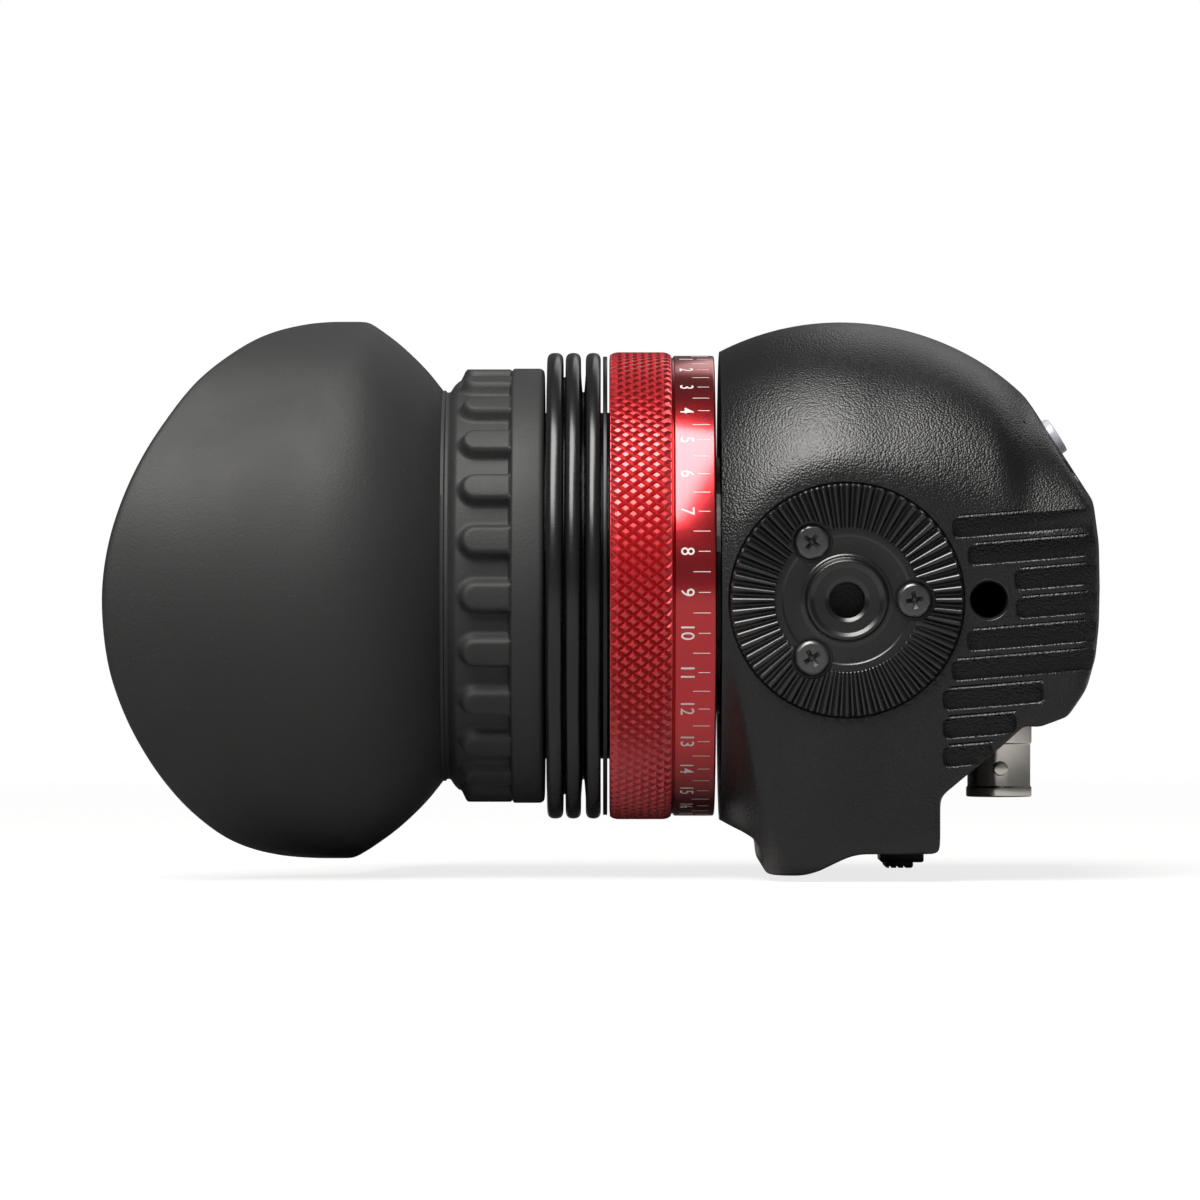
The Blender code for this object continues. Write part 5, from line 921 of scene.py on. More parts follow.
def toothed_ring():
    """The ring of teeth, which grow taller outwards, as a bmesh."""
    per_tooth = len(TOOTH_DROPS)
    inner, outer, bevel, back = ROSETTE_INNER, ROSETTE_OUTER, TOOTH_BEVEL, ROSETTE_FACE + 2.2 * MM

    def profile(low):
        def surface(radius):
            return ROSETTE_FACE + low * TOOTH_HEIGHT * MM * radius / outer
        return ((inner, back), (inner, surface(inner) + bevel * 0.4), (inner + bevel * 0.5, surface(inner)),
                (outer - bevel, surface(outer)), (outer, surface(outer) + bevel), (outer, back))

    profiles = [profile(low) for low in TOOTH_DROPS]
    count = len(profiles[0])

    def place(column, row):
        tooth, step = divmod(column % (ROSETTE_TEETH * per_tooth), per_tooth)
        angle = 2 * pi * (tooth + TOOTH_PLACES[step]) / ROSETTE_TEETH
        radius, y = profiles[step][row % count]
        return Vector((radius * cos(angle), y, ROSETTE_Z + radius * sin(angle)))

    return wrapped(ROSETTE_TEETH * per_tooth, count, place)


class VIEWFINDER_OT_rosette(bpy.types.Operator):
    """Adds the toothed rosette with its hub and counterbores, and the rim of the second hole"""
    bl_idname = "viewfinder.rosette"
    bl_label = "Rosette"

    def execute(self, context):
        core = spun_across(softened(ROSETTE_DISC, 0.15, 4), (0, ROSETTE_FACE, ROSETTE_Z), 160)
        joined = carved(toothed_ring(), [core], "UNION")
        face = carved(joined, screw_bores(rosette_screw_seats(), ROSETTE_SCREW))
        add_piece("rosette_face", face, "rosette_black", "housing", ("rosette",), sharp=25)
        rim = spun_across(softened(HOLE_RIM, 0.06, 2), (SECOND_HOLE_X, -33.0 * MM, ROSETTE_Z), 64)
        add_piece("second_hole_rim", rim, "rosette_black", "housing")
        return {"FINISHED"}


def screw_shape(kind, turn):
    """A pan-head screw along the x axis with its head's top at zero and a tapered cross recess."""
    head, height, shank, reach = [value * MM for value in kind]
    outline = softened([(0.0, 0.0, 0.0), (0.0, head * 0.80), (-height * 0.38, head, head * 0.12),
                        (-height, head, 0.05 * MM), (-height, shank, 0.0), (-height - reach + 0.3 * MM, shank),
                        (-height - reach, shank * 0.6), (-height - reach, 0.0, 0.0)], 0.2 * MM, 4)
    cutters = []
    for index in range(2):
        cutter = bmesh.new()
        bmesh.ops.create_cone(cutter, cap_ends=True, segments=4, radius1=head * 0.20, radius2=head * 0.86,
                              depth=1.1 * MM, matrix=Matrix.Rotation(pi / 4, 4, "Z"))
        bmesh.ops.scale(cutter, vec=(1.0, 0.26, 1.0), verts=cutter.verts)
        cutter.transform(Matrix.Rotation(pi / 2, 4, "Y") @ Matrix.Rotation(index * pi / 2, 4, "Z"))
        move(cutter, (-0.28 * MM, 0, 0))
        cutters.append(cutter)
    screw = carved(spun(outline, 48, closed=False), cutters)
    screw.transform(Matrix.Rotation(turn, 4, "X"))
    return screw


class VIEWFINDER_OT_screws(bpy.types.Operator):
    """Adds the cross-recess screws of the rosette and of the front plate"""
    bl_idname = "viewfinder.screws"
    bl_label = "Screws"

    def execute(self, context):
        groups = (("rosette_screw", rosette_screw_seats(), ROSETTE_SCREW, (0.18, 0.95, 0.55)),
                  ("plate_screw", plate_screw_seats(), PLATE_SCREW, (0.3, 1.1, 0.7, 0.2)))
        for name, seats, kind, turns in groups:
            for index, ((place, out), turn) in enumerate(zip(seats, turns)):
                bm = screw_shape(kind, turn)
                bm.transform(Matrix.Translation(place) @ out.to_track_quat("X", "Z").to_matrix().to_4x4())
                add_piece(f"{name}_{index + 1}_head", bm, "dark_steel", "housing", (f"{name}_{index + 1}",))
        return {"FINISHED"}


# Focus ring

class VIEWFINDER_OT_focus_ring(bpy.types.Operator):
    """Adds the red focus ring: its core, the knurled band, and the dial's lines and numbers"""
    bl_idname = "viewfinder.focus_ring"
    bl_label = "Focus ring"

    def execute(self, context):
        size = sizes("ring")
        dial = size.dial_radius
        low = size.knurl_radius - size.knurl_height
        right, split, left = -17.75 * MM, -23.35 * MM, -32.4 * MM
        bore, room, step = 18.45 * MM, 27.3 * MM, -20.1 * MM
        core = [(right, bore), (right, dial, 0.35 * MM), (split, dial, 0.1 * MM),
                (split - 0.25 * MM, dial - 0.35 * MM, 0.05 * MM), (split - 0.5 * MM, low - 0.1 * MM, 0.0),
                (left + 0.2 * MM, low - 0.1 * MM, 0.0), (left, low - 0.5 * MM), (left, room), (step, room),
                (step, bore)]
        add_piece("ring_core", spun(softened(core, 0.2 * MM, 5), 192), "red_anodised", "focus_ring", ("focus_ring",))
        band = knurled_band(split - 0.45 * MM, left + 0.05 * MM)
        add_piece("knurled_band", band, "red_knurled", "focus_ring", sharp=12)
        add_piece("dial_marks", dial_marks(right), "printed_white", "focus_ring")
        return {"FINISHED"}


KNURL_INSET = 0.36 * MM
KNURL_CHAMFER = 0.9 * MM
DEGREES_PER_NUMBER = 10
NUMBER_AT_NEAR_SIDE = 8.83
DIAL_LINES = {"whole": 1.62 * MM, "half": 2.35 * MM}
DIAL_LINE_HALF_WIDTH = 0.05 * MM


def knurled_band(right, left):
    """A band of truncated diamonds with chamfered ends and an inner wall."""
    size = sizes("ring")
    columns, rows = size.knurl_columns, size.knurl_rows
    low = size.knurl_radius - size.knurl_height
    inner = low - 0.6 * MM

    def place(column, row):
        angle = 2 * pi * column / columns
        return Vector((left + (right - left) * row / rows, -low * cos(angle), low * sin(angle)))

    bm = wrapped(columns, rows, place)
    old_edges = [edge for edge in bm.edges if not edge.is_boundary]
    bmesh.ops.poke(bm, faces=bm.faces[:], offset=0.0, center_mode="MEAN")
    for vert in bm.verts:
        radius = hypot(vert.co.y, vert.co.z)
        vert.co.y *= low / radius
        vert.co.z *= low / radius
    bmesh.ops.dissolve_edges(bm, edges=[edge for edge in old_edges if edge.is_valid], use_verts=False)
    face_out(bm)
    sample = bm.faces[0]
    centre = sample.calc_center_median()
    if sample.normal.dot(Vector((0, centre.y, centre.z))) < 0:
        bmesh.ops.reverse_faces(bm, faces=bm.faces[:])
    rims = [edge for edge in bm.edges if edge.is_boundary]
    bmesh.ops.inset_individual(bm, faces=bm.faces[:], thickness=KNURL_INSET, depth=size.knurl_height,
                               use_even_offset=True)
    for vert in bm.verts:
        radius = hypot(vert.co.y, vert.co.z)
        edge_distance = min(vert.co.x - left, right - vert.co.x)
        limit = low + 0.06 * MM + size.knurl_height * min(1.0, max(0.0, edge_distance) / KNURL_CHAMFER)
        if radius > limit:
            vert.co.y *= limit / radius
            vert.co.z *= limit / radius
    walls = bmesh.ops.extrude_edge_only(bm, edges=rims)["geom"]
    for vert in [item for item in walls if isinstance(item, bmesh.types.BMVert)]:
        vert.co.y *= inner / low
        vert.co.z *= inner / low
    loops = []
    for wanted in (left, right):
        verts = {vert for edge in bm.edges if edge.is_boundary for vert in edge.verts
                 if abs(vert.co.x - wanted) < 0.2 * MM}
        loops.append(sorted(verts, key=lambda vert: atan2(vert.co.z, vert.co.y)))
    for index in range(columns):
        after = (index + 1) % columns
        bm.faces.new((loops[0][index], loops[0][after], loops[1][after], loops[1][index]))
    face_out(bm)
    return bm


DIGIT_WIDTH = 0.92
DIGIT_BOLDNESS = 0.002


def text_mesh(text, height):
    """Flat text of a given height as a bmesh, with its middle at zero."""
    curve = bpy.data.curves.new("digits", "FONT")
    curve.body = text
    curve.size = 1.0
    curve.offset = DIGIT_BOLDNESS
    curve.resolution_u = 3
    obj = bpy.data.objects.new("digits", curve)
    bpy.context.scene.collection.objects.link(obj)
    mesh = baked(obj)
    bpy.data.curves.remove(curve)
    bm = as_bmesh(mesh)
    bpy.data.meshes.remove(mesh)
    low = min(vert.co.y for vert in bm.verts)
    tall = max(vert.co.y for vert in bm.verts) - low
    start = min(vert.co.x for vert in bm.verts)
    wide = max(vert.co.x for vert in bm.verts) - start
    scale = height / tall
    for vert in bm.verts:
        vert.co.x = (vert.co.x - start - wide / 2) * scale * DIGIT_WIDTH
        vert.co.y = (vert.co.y - low - tall / 2) * scale
    bmesh.ops.triangulate(bm, faces=bm.faces[:])
    return bm


def dial_marks(right):
    """Numbers every ten degrees with their lines, wrapped on the dial and reading down its near side."""
    size = sizes("ring")
    proud = size.dial_radius + 0.02 * MM
    depth = 0.12 * MM
    digits_x = right - 3.95 * MM
    parts = []

    def wrap(bm, angle, x):
        """Lays a flat shape on the dial: its x runs down the near side and its y along the axis."""
        pulled = bmesh.ops.extrude_face_region(bm, geom=bm.faces[:], use_keep_orig=True)["geom"]
        raised = {item for item in pulled if isinstance(item, bmesh.types.BMVert)}
        for vert in bm.verts:
            radius = proud if vert in raised else proud - depth
            turn = angle + vert.co.x / proud
            vert.co = Vector((x + vert.co.y, -radius * cos(turn), -radius * sin(turn)))
        face_out(bm)
        parts.append(bm)

    for half in range(2 * size.last_number + 1):
        angle = radians((half / 2 - NUMBER_AT_NEAR_SIDE) * DEGREES_PER_NUMBER)
        whole = half % 2 == 0
        line = DIAL_LINES["whole" if whole else "half"]
        bm = block((-DIAL_LINE_HALF_WIDTH, 0.0, 0.0), (DIAL_LINE_HALF_WIDTH, line, 0.001 * MM))
        top = [vert for vert in bm.verts if vert.co.z > 0.0005 * MM]
        bmesh.ops.delete(bm, geom=top, context="VERTS")
        wrap(bm, angle, right - 0.85 * MM - line)
        if whole and half:
            wrap(text_mesh(str(half // 2), size.digit_height), angle, digits_x)
    return merged(parts)


# Bellows and eyepiece

# Middle and half width of each fold, and place and radius of each valley between two
BELLOWS_FOLDS = ((-34.66, 1.04), (-37.45, 1.06), (-39.98, 1.12))
BELLOWS_VALLEYS = ((-36.05, 27.2), (-38.69, 29.3))
BELLOWS_TIP = 32.7
BELLOWS_FLANK = BELLOWS_TIP - 2.6


class VIEWFINDER_OT_bellows(bpy.types.Operator):
    """Adds the three-fold rubber bellows, baked in place at one length"""
    bl_idname = "viewfinder.bellows"
    bl_label = "Bellows"

    def execute(self, context):
        outer = [(-33.62, 25.25, 0.0), (-33.62, 29.5, 0.3)]
        for index, (x, half) in enumerate(BELLOWS_FOLDS):
            outer += [(x + half, BELLOWS_FLANK, 1.0), (x + half * 1.02, BELLOWS_TIP, 1.06),
                      (x - half * 1.02, BELLOWS_TIP, 1.06), (x - half, BELLOWS_FLANK, 1.0)]
            for x, radius in BELLOWS_VALLEYS[index:index + 1]:
                outer += [(x + 0.12, radius, 0.12), (x - 0.12, radius, 0.12)]
        outer += [(-41.18, 29.0, 0.3), (-41.18, 25.25, 0.0)]
        inner = [(-40.5, 25.25, 0.0), (-40.35, 31.5, 0.3), (-39.6, 31.5, 0.3), (-39.1, 28.4, 0.3), (-38.3, 28.4, 0.3),
                 (-37.8, 31.5, 0.3), (-37.1, 31.5, 0.3), (-36.6, 26.3, 0.3), (-35.6, 26.3, 0.3), (-35.0, 31.5, 0.3),
                 (-34.3, 31.5, 0.3), (-34.3, 25.25, 0.0)]
        bm = spun(softened(in_metres(outer + inner), 0.3 * MM, 6), 192)
        move(bm, AXIS)
        obj = raw_object("bellows_folds", bm)
        obj.data.materials.append(finish("bellows_rubber"))
        obj.data.shade_smooth()
        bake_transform(obj)
        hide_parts("bellows")
        return {"FINISHED"}


def lens_outline(right, radius, rise, edge, steps=14):
    """Half the section of a lens: its rim between two places, and a bulge by the rise on both sides."""
    bulges = [(rise * (1 - (step / steps) ** 2), radius * step / steps) for step in range(steps + 1)]
    return [(right + bulge, r) for bulge, r in bulges] + [(right - edge - bulge, r) for bulge, r in reversed(bulges)]


class VIEWFINDER_OT_eyepiece(bpy.types.Operator):
    """Adds the lens barrel, its lenses and rings, and the thin flange that holds the focus ring"""
    bl_idname = "viewfinder.eyepiece"
    bl_label = "Eyepiece"

    def execute(self, context):
        turned_pieces = (
            ("retaining_flange_disc", "retaining_flange", "housing", "flange_grey",
             ((-32.7, 24.9), (-32.7, 32.2), (-33.3, 32.2), (-33.3, 24.9)), 0.12),
            ("barrel_tube", "lens_barrel", "eyepiece", "barrel_black",
             ((-22.59, 18.5), (-22.59, 24.3), (-41.5, 24.3), (-41.5, 28.3), (-42.2, 28.3), (-42.2, 24.3),
              (-54.99, 24.3), (-54.99, 21.5), (-24.19, 21.5), (-24.19, 18.5)), 0.15),
            ("spacer_tube", "lens_spacer", "eyepiece", "barrel_black",
             ((-27.95, 18.5), (-27.95, 21.2), (-48.57, 21.2), (-48.57, 18.5)), 0.1),
            ("retaining_ring", "lens_retaining_ring", "eyepiece", "barrel_black",
             ((-52.39, 18.5), (-52.39, 21.2), (-54.59, 21.2), (-54.59, 19.6)), 0.15),
            ("clip_ring", "eyecup_clip_ring", "eyecup", "black_plastic",
             ((-42.65, 24.6), (-42.65, 27.4), (-51.65, 27.4), (-51.65, 24.6)), 0.2),
        )
        for name, node, body, material, outline, rounding in turned_pieces:
            points = softened(in_metres(outline), rounding * MM, 3)
            add_piece(name, spun(points, 128), material, body, (node,))
        for name, node in (("field_lens_glass", "field_lens"), ("eye_lens_glass", "eye_lens")):
            low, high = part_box(node)
            middle = (low[0] + high[0]) / 2
            outline = lens_outline(middle + 1.1 * MM, 21.2 * MM, 2.15 * MM, 2.2 * MM)
            add_piece(name, spun(outline, 96, closed=False), "lens_glass", "eyepiece", (node,), sharp=50)
        return {"FINISHED"}


# Eyecup

# How far the rim reaches, as (degrees about the axis, share of the whole reach)
WING_SHARES = ((-180, 0.0), (-110, 0.0), (-100, 0.04), (-90, 0.14), (-80, 0.352), (-70, 0.513), (-60, 0.633),
               (-50, 0.742), (-40, 0.836), (-30, 0.915), (-20, 0.971), (-10, 0.997), (0, 1.0), (10, 0.974),
               (20, 0.921), (30, 0.845), (40, 0.751), (50, 0.651), (60, 0.528), (70, 0.399), (80, 0.246),
               (90, 0.085), (100, 0.02), (110, 0.0), (180, 0.0))
# Where the wing begins to close in, over which length, and how far, all round and at its middle
WING_FROM, WING_RUN = -66.0 * MM, 34.0 * MM
WING_CLOSE, WING_NEAR_CLOSE = 0.4 * MM, 1.5 * MM
# Softness of the crease between flare and wing, all round and at the wing's middle, in millimetres
CREASE, NEAR_CREASE = 0.22, 1.5


def wing_share(angle):
    """How far the rim reaches at an angle in degrees about the axis, as a share, on a smooth curve."""
    angle = (angle + 180) % 360 - 180
    for index in range(len(WING_SHARES) - 1):
        a0, v0 = WING_SHARES[index]
        a1, v1 = WING_SHARES[index + 1]
        if a0 <= angle <= a1:
            before = WING_SHARES[max(index - 1, 0)]
            after = WING_SHARES[min(index + 2, len(WING_SHARES) - 1)]
            t = (angle - a0) / (a1 - a0)
            m0 = (v1 - before[1]) / max(a1 - before[0], 1) * (a1 - a0)
            m1 = (after[1] - v0) / max(after[0] - a0, 1) * (a1 - a0)
            return ((2 * t ** 3 - 3 * t ** 2 + 1) * v0 + (t ** 3 - 2 * t ** 2 + t) * m0
                    + (3 * t ** 2 - 2 * t ** 3) * v1 + (t ** 3 - t ** 2) * m1)
    return 0.0


def cup_band():
    """The eyecup's outside from its right end to its neck, as (x, radius) points."""
    size = sizes("cup")
    band = size.band_radius / MM
    floor = band - 0.1 - size.pad_height / MM
    corners = [(-41.455, 28.7, 0.0), (-41.455, band, 1.25), (-45.9, band, 0.35), (-46.35, floor, 0.35)]
    corners += [(-46.6 - 0.3 * step, floor, 0.0) for step in range(24)]
    corners += [(-54.1, 28.1, 0.5), (-54.7, 27.15, 0.4), (-55.2, 27.15, 0.2), (-55.3, 27.42, 0.1), (-55.75, 27.42, 0.1)]
    return softened(in_metres(corners), 0.0, 4, closed=False)


FLARE = ((-55.7, 27.4), (-56.2, 28.05), (-57.6, 29.8), (-59.0, 31.3), (-60.4, 32.65), (-61.8, 33.9), (-63.2, 35.0),
         (-64.6, 36.0), (-66.0, 36.95), (-80.0, 45.5), (-120.0, 70.0))


def flare_radius(x):
    """The radius of the flare at a place, which runs on in a straight line past its end."""
    for (start, one), (end, two) in zip(FLARE, FLARE[1:]):
        if x >= end * MM:
            return (one + (two - one) * (start * MM - x) / ((start - end) * MM)) * MM
    return FLARE[-1][1] * MM


# Grip pads: degrees from one to the next, from a pad's middle to its side, and of the whole row, then lengths
PAD_PITCH, PAD_HALF, PAD_TURN = 15.0, 4.05, 3.0
PAD_RADIUS = 30
PAD_LEFT = -52.85 * MM
PAD_CORNER = 2.05 * MM
PAD_FLANK = 1.15 * MM
PAD_SAG = 0.05


def pad_height(x, angle):
    """Share of a grip pad's height at a place on the band."""
    offset = (angle + PAD_TURN + PAD_PITCH / 2) % PAD_PITCH - PAD_PITCH / 2
    arc = radians(1) * PAD_RADIUS * MM
    inner_u = max(0.0, abs(offset) * arc - (PAD_HALF * arc - PAD_CORNER))
    inner_v = max(0.0, (PAD_LEFT + PAD_CORNER) - x)
    distance = hypot(inner_u, inner_v) - PAD_CORNER
    top = 1.0 - PAD_SAG * (offset / PAD_HALF) ** 2
    return top * smooth_share(0.5 - distance / PAD_FLANK)


class VIEWFINDER_OT_eyecup(bpy.types.Operator):
    """Adds the rubber eyecup with its grip pads, flare and side wing"""
    bl_idname = "viewfinder.eyecup"
    bl_label = "Eyecup"

    def execute(self, context):
        size = sizes("cup")
        wall = size.wall
        half = wall / 2
        angles = 576
        band = cup_band()
        flare_start, middle, rim_start, inner_end = -55.85 * MM, -64.0 * MM, -67.5 * MM, -61.0 * MM
        flare_steps, wing_steps, rim_steps, inner_steps = 16, 30, 7, 24
        inside = in_metres([(-60.0, 30.2), (-57.6, 27.6), (-56.0, 25.6), (-55.3, 25.3), (-53.6, 25.3),
                            (-51.95, 25.3), (-51.95, 27.7), (-42.5, 27.7), (-42.5, 28.6)])
        count = len(band) + flare_steps + wing_steps + rim_steps + inner_steps + len(inside)

        def section(angle):
            """The eyecup's closed section at an angle in degrees about the axis."""
            psi = radians(angle)
            reach = wing_share(angle)
            rim_x = rim_start - size.wing_reach * reach
            near = max(0.0, cos(psi))
            softness = (CREASE + NEAR_CREASE * near ** 1.5) * MM

            def outer_radius(x):
                gone = max(0.0, (WING_FROM - x) / WING_RUN)
                closing = (WING_NEAR_CLOSE * near + WING_CLOSE) * gone ** 2.2
                wing = size.wing_radius - size.wing_drop * sin(psi) - closing
                return soft_limit(flare_radius(x), wing + softness * 0.1, softness)

            points = []
            for x, radius in band:
                if -53.9 * MM < x < -46.0 * MM:
                    radius += pad_height(x, angle) * (size.band_radius - 0.1 * MM - radius)
                points.append((x, radius))
            for step in range(flare_steps):
                x = flare_start + (middle - flare_start) * step / flare_steps
                points.append((x, outer_radius(x)))
            rim_end = rim_x + half
            for step in range(wing_steps):
                x = middle + (rim_end - middle) * (step / (wing_steps - 1)) ** 1.3
                points.append((x, outer_radius(x)))
            edge = points[-1][1]
            for step in range(1, rim_steps + 1):
                turn = pi * step / (rim_steps + 1)
                points.append((rim_end - half * sin(turn), edge - half + half * cos(turn)))
            for step in range(inner_steps):
                x = rim_end + (inner_end - rim_end) * (step / (inner_steps - 1)) ** 0.8
                points.append((x, outer_radius(x) - wall - 0.2 * MM * step / (inner_steps - 1)))
            return points + inside

        table = [section(360 * index / angles) for index in range(angles)]

        def place(column, row):
            angle = 2 * pi * row / angles
            x, r = table[row % angles][column % count]
            return Vector((x, -r * cos(angle), r * sin(angle)))

        bm = wrapped(count, angles, place)
        add_piece("eyecup_rubber_cup", bm, "eyecup_rubber", "eyecup", ("eyecup",), sharp=60)
        return {"FINISHED"}


# Controls

# (height over the facet, radius, rounding)
BUTTON_CAP = ((0.85, 0.0, 0.0), (0.85, 2.6, 0.32), (-3.1, 2.6, 0.05), (-3.1, 3.5), (-3.9, 3.5), (-3.9, 1.0),
              (-5.1, 1.0), (-5.1, 0.0, 0.0))
JOYSTICK_TOP = 35.4
JOYSTICK_BUMPS = 12
# (distance below the top, radius, rounding)
JOYSTICK_CAP = ((0.55, 0.0, 0.0), (0.5, 2.6, 0.8), (0.0, 4.2, 0.4), (0.1, 5.2, 0.4), (1.1, 5.2, 0.3),
                (1.8, 4.4, 0.3), (1.8, 2.4, 0.3), (3.4, 2.4, 0.2), (3.4, 1.5, 0.0), (1.8, 1.5, 0.0),
                (1.8, 0.0, 0.0))


class VIEWFINDER_OT_controls(bpy.types.Operator):
    """Adds the function buttons and the joystick's cap"""
    bl_idname = "viewfinder.controls"
    bl_label = "Buttons and joystick"

    def execute(self, context):
        out = Vector((FACET_OUT.x, 0.0, FACET_OUT.y))
        turn = out.to_track_quat("X", "Z").to_matrix().to_4x4()
        for index, y in enumerate(button_rows()):
            name = f"function_button_{index + 1}"
            tail = BUTTON_CAP[-1][0] * MM + crown(y)
            outline = [(max(x, tail), r) for x, r in in_metres(softened(BUTTON_CAP, 0.15, 5))]
            bm = spun(outline, 48, closed=False)
            bm.transform(Matrix.Translation(facet_point(BUTTON_SHARE, y, crown(y))) @ turn)
            add_piece(name + "_cap", bm, "button_resin", name, (name,))
        stick = [(JOYSTICK_TOP - drop, *rest) for drop, *rest in JOYSTICK_CAP]
        bm = spun(in_metres(softened(stick, 0.15, 5)), 64, closed=False)
        bumps = []
        for index in range(JOYSTICK_BUMPS):
            angle = 2 * pi * index / JOYSTICK_BUMPS
            bump = bmesh.new()
            bmesh.ops.create_icosphere(bump, subdivisions=2, radius=0.38 * MM)
            move(bump, ((JOYSTICK_TOP - 0.1) * MM, 4.2 * MM * cos(angle), 4.2 * MM * sin(angle)))
            bumps.append(bump)
        bm = carved(bm, bumps, "UNION")
        move(bm, (0, 0, JOYSTICK_Z))
        add_piece("joystick_thumb_cap", bm, "black_plastic", "joystick_cap", ("joystick_cap",))
        return {"FINISHED"}


# Sockets

# The barrel from its floor round its mouth to its back, as (height, radius, rounding)
JACK_BARREL = ((9.5, 0.0, 0.0), (9.5, 3.8, 0.1), (0.8, 3.8, 0.1), (0.0, 4.0, 0.15), (0.0, 4.6, 0.25),
               (1.3, 4.6, 0.15), (1.5, 4.42, 0.1), (7.4, 4.42, 0.1), (7.6, 4.6, 0.1), (17.9, 4.6, 0.1),
               (17.9, 0.0, 0.0))


class VIEWFINDER_OT_jack(bpy.types.Operator):
    """Adds the bayonet jack with its nut"""
    bl_idname = "viewfinder.jack"
    bl_label = "Jack"

    def execute(self, context):
        barrel = spun(in_metres(softened(JACK_BARREL, 0.1, 4)), 96, closed=False)
        barrel.transform(Matrix.Rotation(-pi / 2, 4, "Y"))
        face_out(barrel)
        lug_z = 4.0 * MM
        lug = rod((0, -5.5 * MM, lug_z), (0, 5.5 * MM, lug_z), 1.03 * MM, 32, rounding=0.2 * MM)
        inside = rod((0, -4.0 * MM, lug_z), (0, 4.0 * MM, lug_z), 1.3 * MM, 16)
        barrel = carved(barrel, [carved(lug, [inside])], "UNION")
        move(barrel, JACK_PLACE)
        add_piece("jack_barrel", barrel, "jack_nickel", "housing", ("bnc_jack",), on_axis=False)
        nut = carved(rod((0, 0, 0), (0, 0, 1.1 * MM), 6.2 * MM, 6, rounding=0.12 * MM),
                     [rod((0, 0, -1 * MM), (0, 0, 3 * MM), 4.9 * MM, 64)])
        move(nut, (JACK_PLACE.x, JACK_PLACE.y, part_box("bnc_nut")[0][2]))
        add_piece("jack_nut", nut, "jack_nickel", "housing", ("bnc_nut",), on_axis=False)
        return {"FINISHED"}


# Battery and latch

class VIEWFINDER_OT_battery(bpy.types.Operator):
    """Adds the battery pack, its latch and the spring that the latch presses"""
    bl_idname = "viewfinder.battery"
    bl_label = "Battery and latch"

    def execute(self, context):
        low, high = [Vector(corner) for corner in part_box("battery_pack")]
        proud = high.y + 3 * MM
        face = block((low.x + 2.5 * MM, high.y - 0.45 * MM, low.z + 3 * MM),
                     (high.x - 2.5 * MM, proud, high.z - 12 * MM), 0.2 * MM, 2)
        cutters = [face]
        for index in range(5):
            z = high.z - 4.2 * MM - index * 1.5 * MM
            cutters.append(block((low.x + 4 * MM, high.y - 0.4 * MM, z - 0.35 * MM),
                                 (high.x - 4 * MM, proud, z + 0.35 * MM)))
        for index in range(4):
            z = low.z + 6 * MM + index * 4 * MM
            cutters.append(block((low.x + 8.5 * MM, low.y - 2 * MM, z),
                                 (high.x - 8.5 * MM, low.y + 1.2 * MM, z + 2 * MM)))
        case = carved(block(low, high, 1.2 * MM, 4), cutters)
        add_piece("battery_case", case, "black_plastic", "battery", ("battery_pack",), on_axis=False)

        y = 20 * MM
        top, flange, under, step, pad = [level * MM for level in (-34.7, -35.6, -37.1, -39.3, -40.1)]
        left, right = 6.5 * MM, 10.7 * MM
        latch = block((left, y - 6 * MM, flange), (right, y + 6 * MM, top), 0.1 * MM, 2)
        neck = block((left + 0.2 * MM, y - 4.6 * MM, under - 0.4 * MM),
                     (right - 0.2 * MM, y + 4.6 * MM, flange + 0.4 * MM))
        foot = block((left - 0.4 * MM, y - 6.4 * MM, step), (left + 5.8 * MM, y + 6.4 * MM, under), 0.35 * MM, 3)
        grip = block((left + 0.3 * MM, y - 6.0 * MM, pad), (left + 4.3 * MM, y + 6.0 * MM, step + 0.5 * MM),
                     0.35 * MM, 3)
        ridges = [block((left + (0.9 + 1.0 * index) * MM, y - 8 * MM, pad - 1 * MM),
                        (left + (1.25 + 1.0 * index) * MM, y + 8 * MM, pad + 0.3 * MM)) for index in range(3)]
        slider = carved(carved(latch, [neck, foot, grip], "UNION"), ridges)
        add_piece("latch_slider", slider, "black_plastic", "battery_latch", ("battery_latch",))

        spring = as_bmesh(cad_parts["latch_spring"].data)
        bmesh.ops.remove_doubles(spring, verts=spring.verts, dist=WELD)
        obj = raw_object("latch_spring_leaf", spring)
        obj.data.materials.append(finish("bright_edge"))
        low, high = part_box("latch_spring")
        y, z = (low[1] + high[1]) / 2, (low[2] + high[2]) / 2
        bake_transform(obj)
        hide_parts("latch_spring")
        return {"FINISHED"}


# Pieces that keep the shape they have

KEPT = {
    "barrel_black": ("guide_tube",),
    "black_plastic": ("display_frame", "battery_contacts", "joystick_base"),
    "bright_edge": ("side_insert", "heat_spreader", "hdmi_socket_1", "hdmi_socket_2", "power_socket", "drive_pin_1",
                    "drive_pin_2"),
    "circuit_board": ("main_board", "interface_board", "key_board"),
    "dark_steel": ("joystick_yoke", "joystick_shaft"),
    "lens_glass": ("display_glass",),
    "rosette_black": ("connector_panel",),
    "screen_black": ("display_panel",),
    "white_insulator": ("bnc_contact",),
}


class VIEWFINDER_OT_finishes(bpy.types.Operator):
    """Gives the pieces that keep their plain shape their own finishes"""
    bl_idname = "viewfinder.finishes"
    bl_label = "Plain pieces"

    def execute(self, context):
        for name, nodes in KEPT.items():
            for node in nodes:
                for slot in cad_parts[node].material_slots:
                    slot.material = finish(name)
        return {"FINISHED"}


# Stage

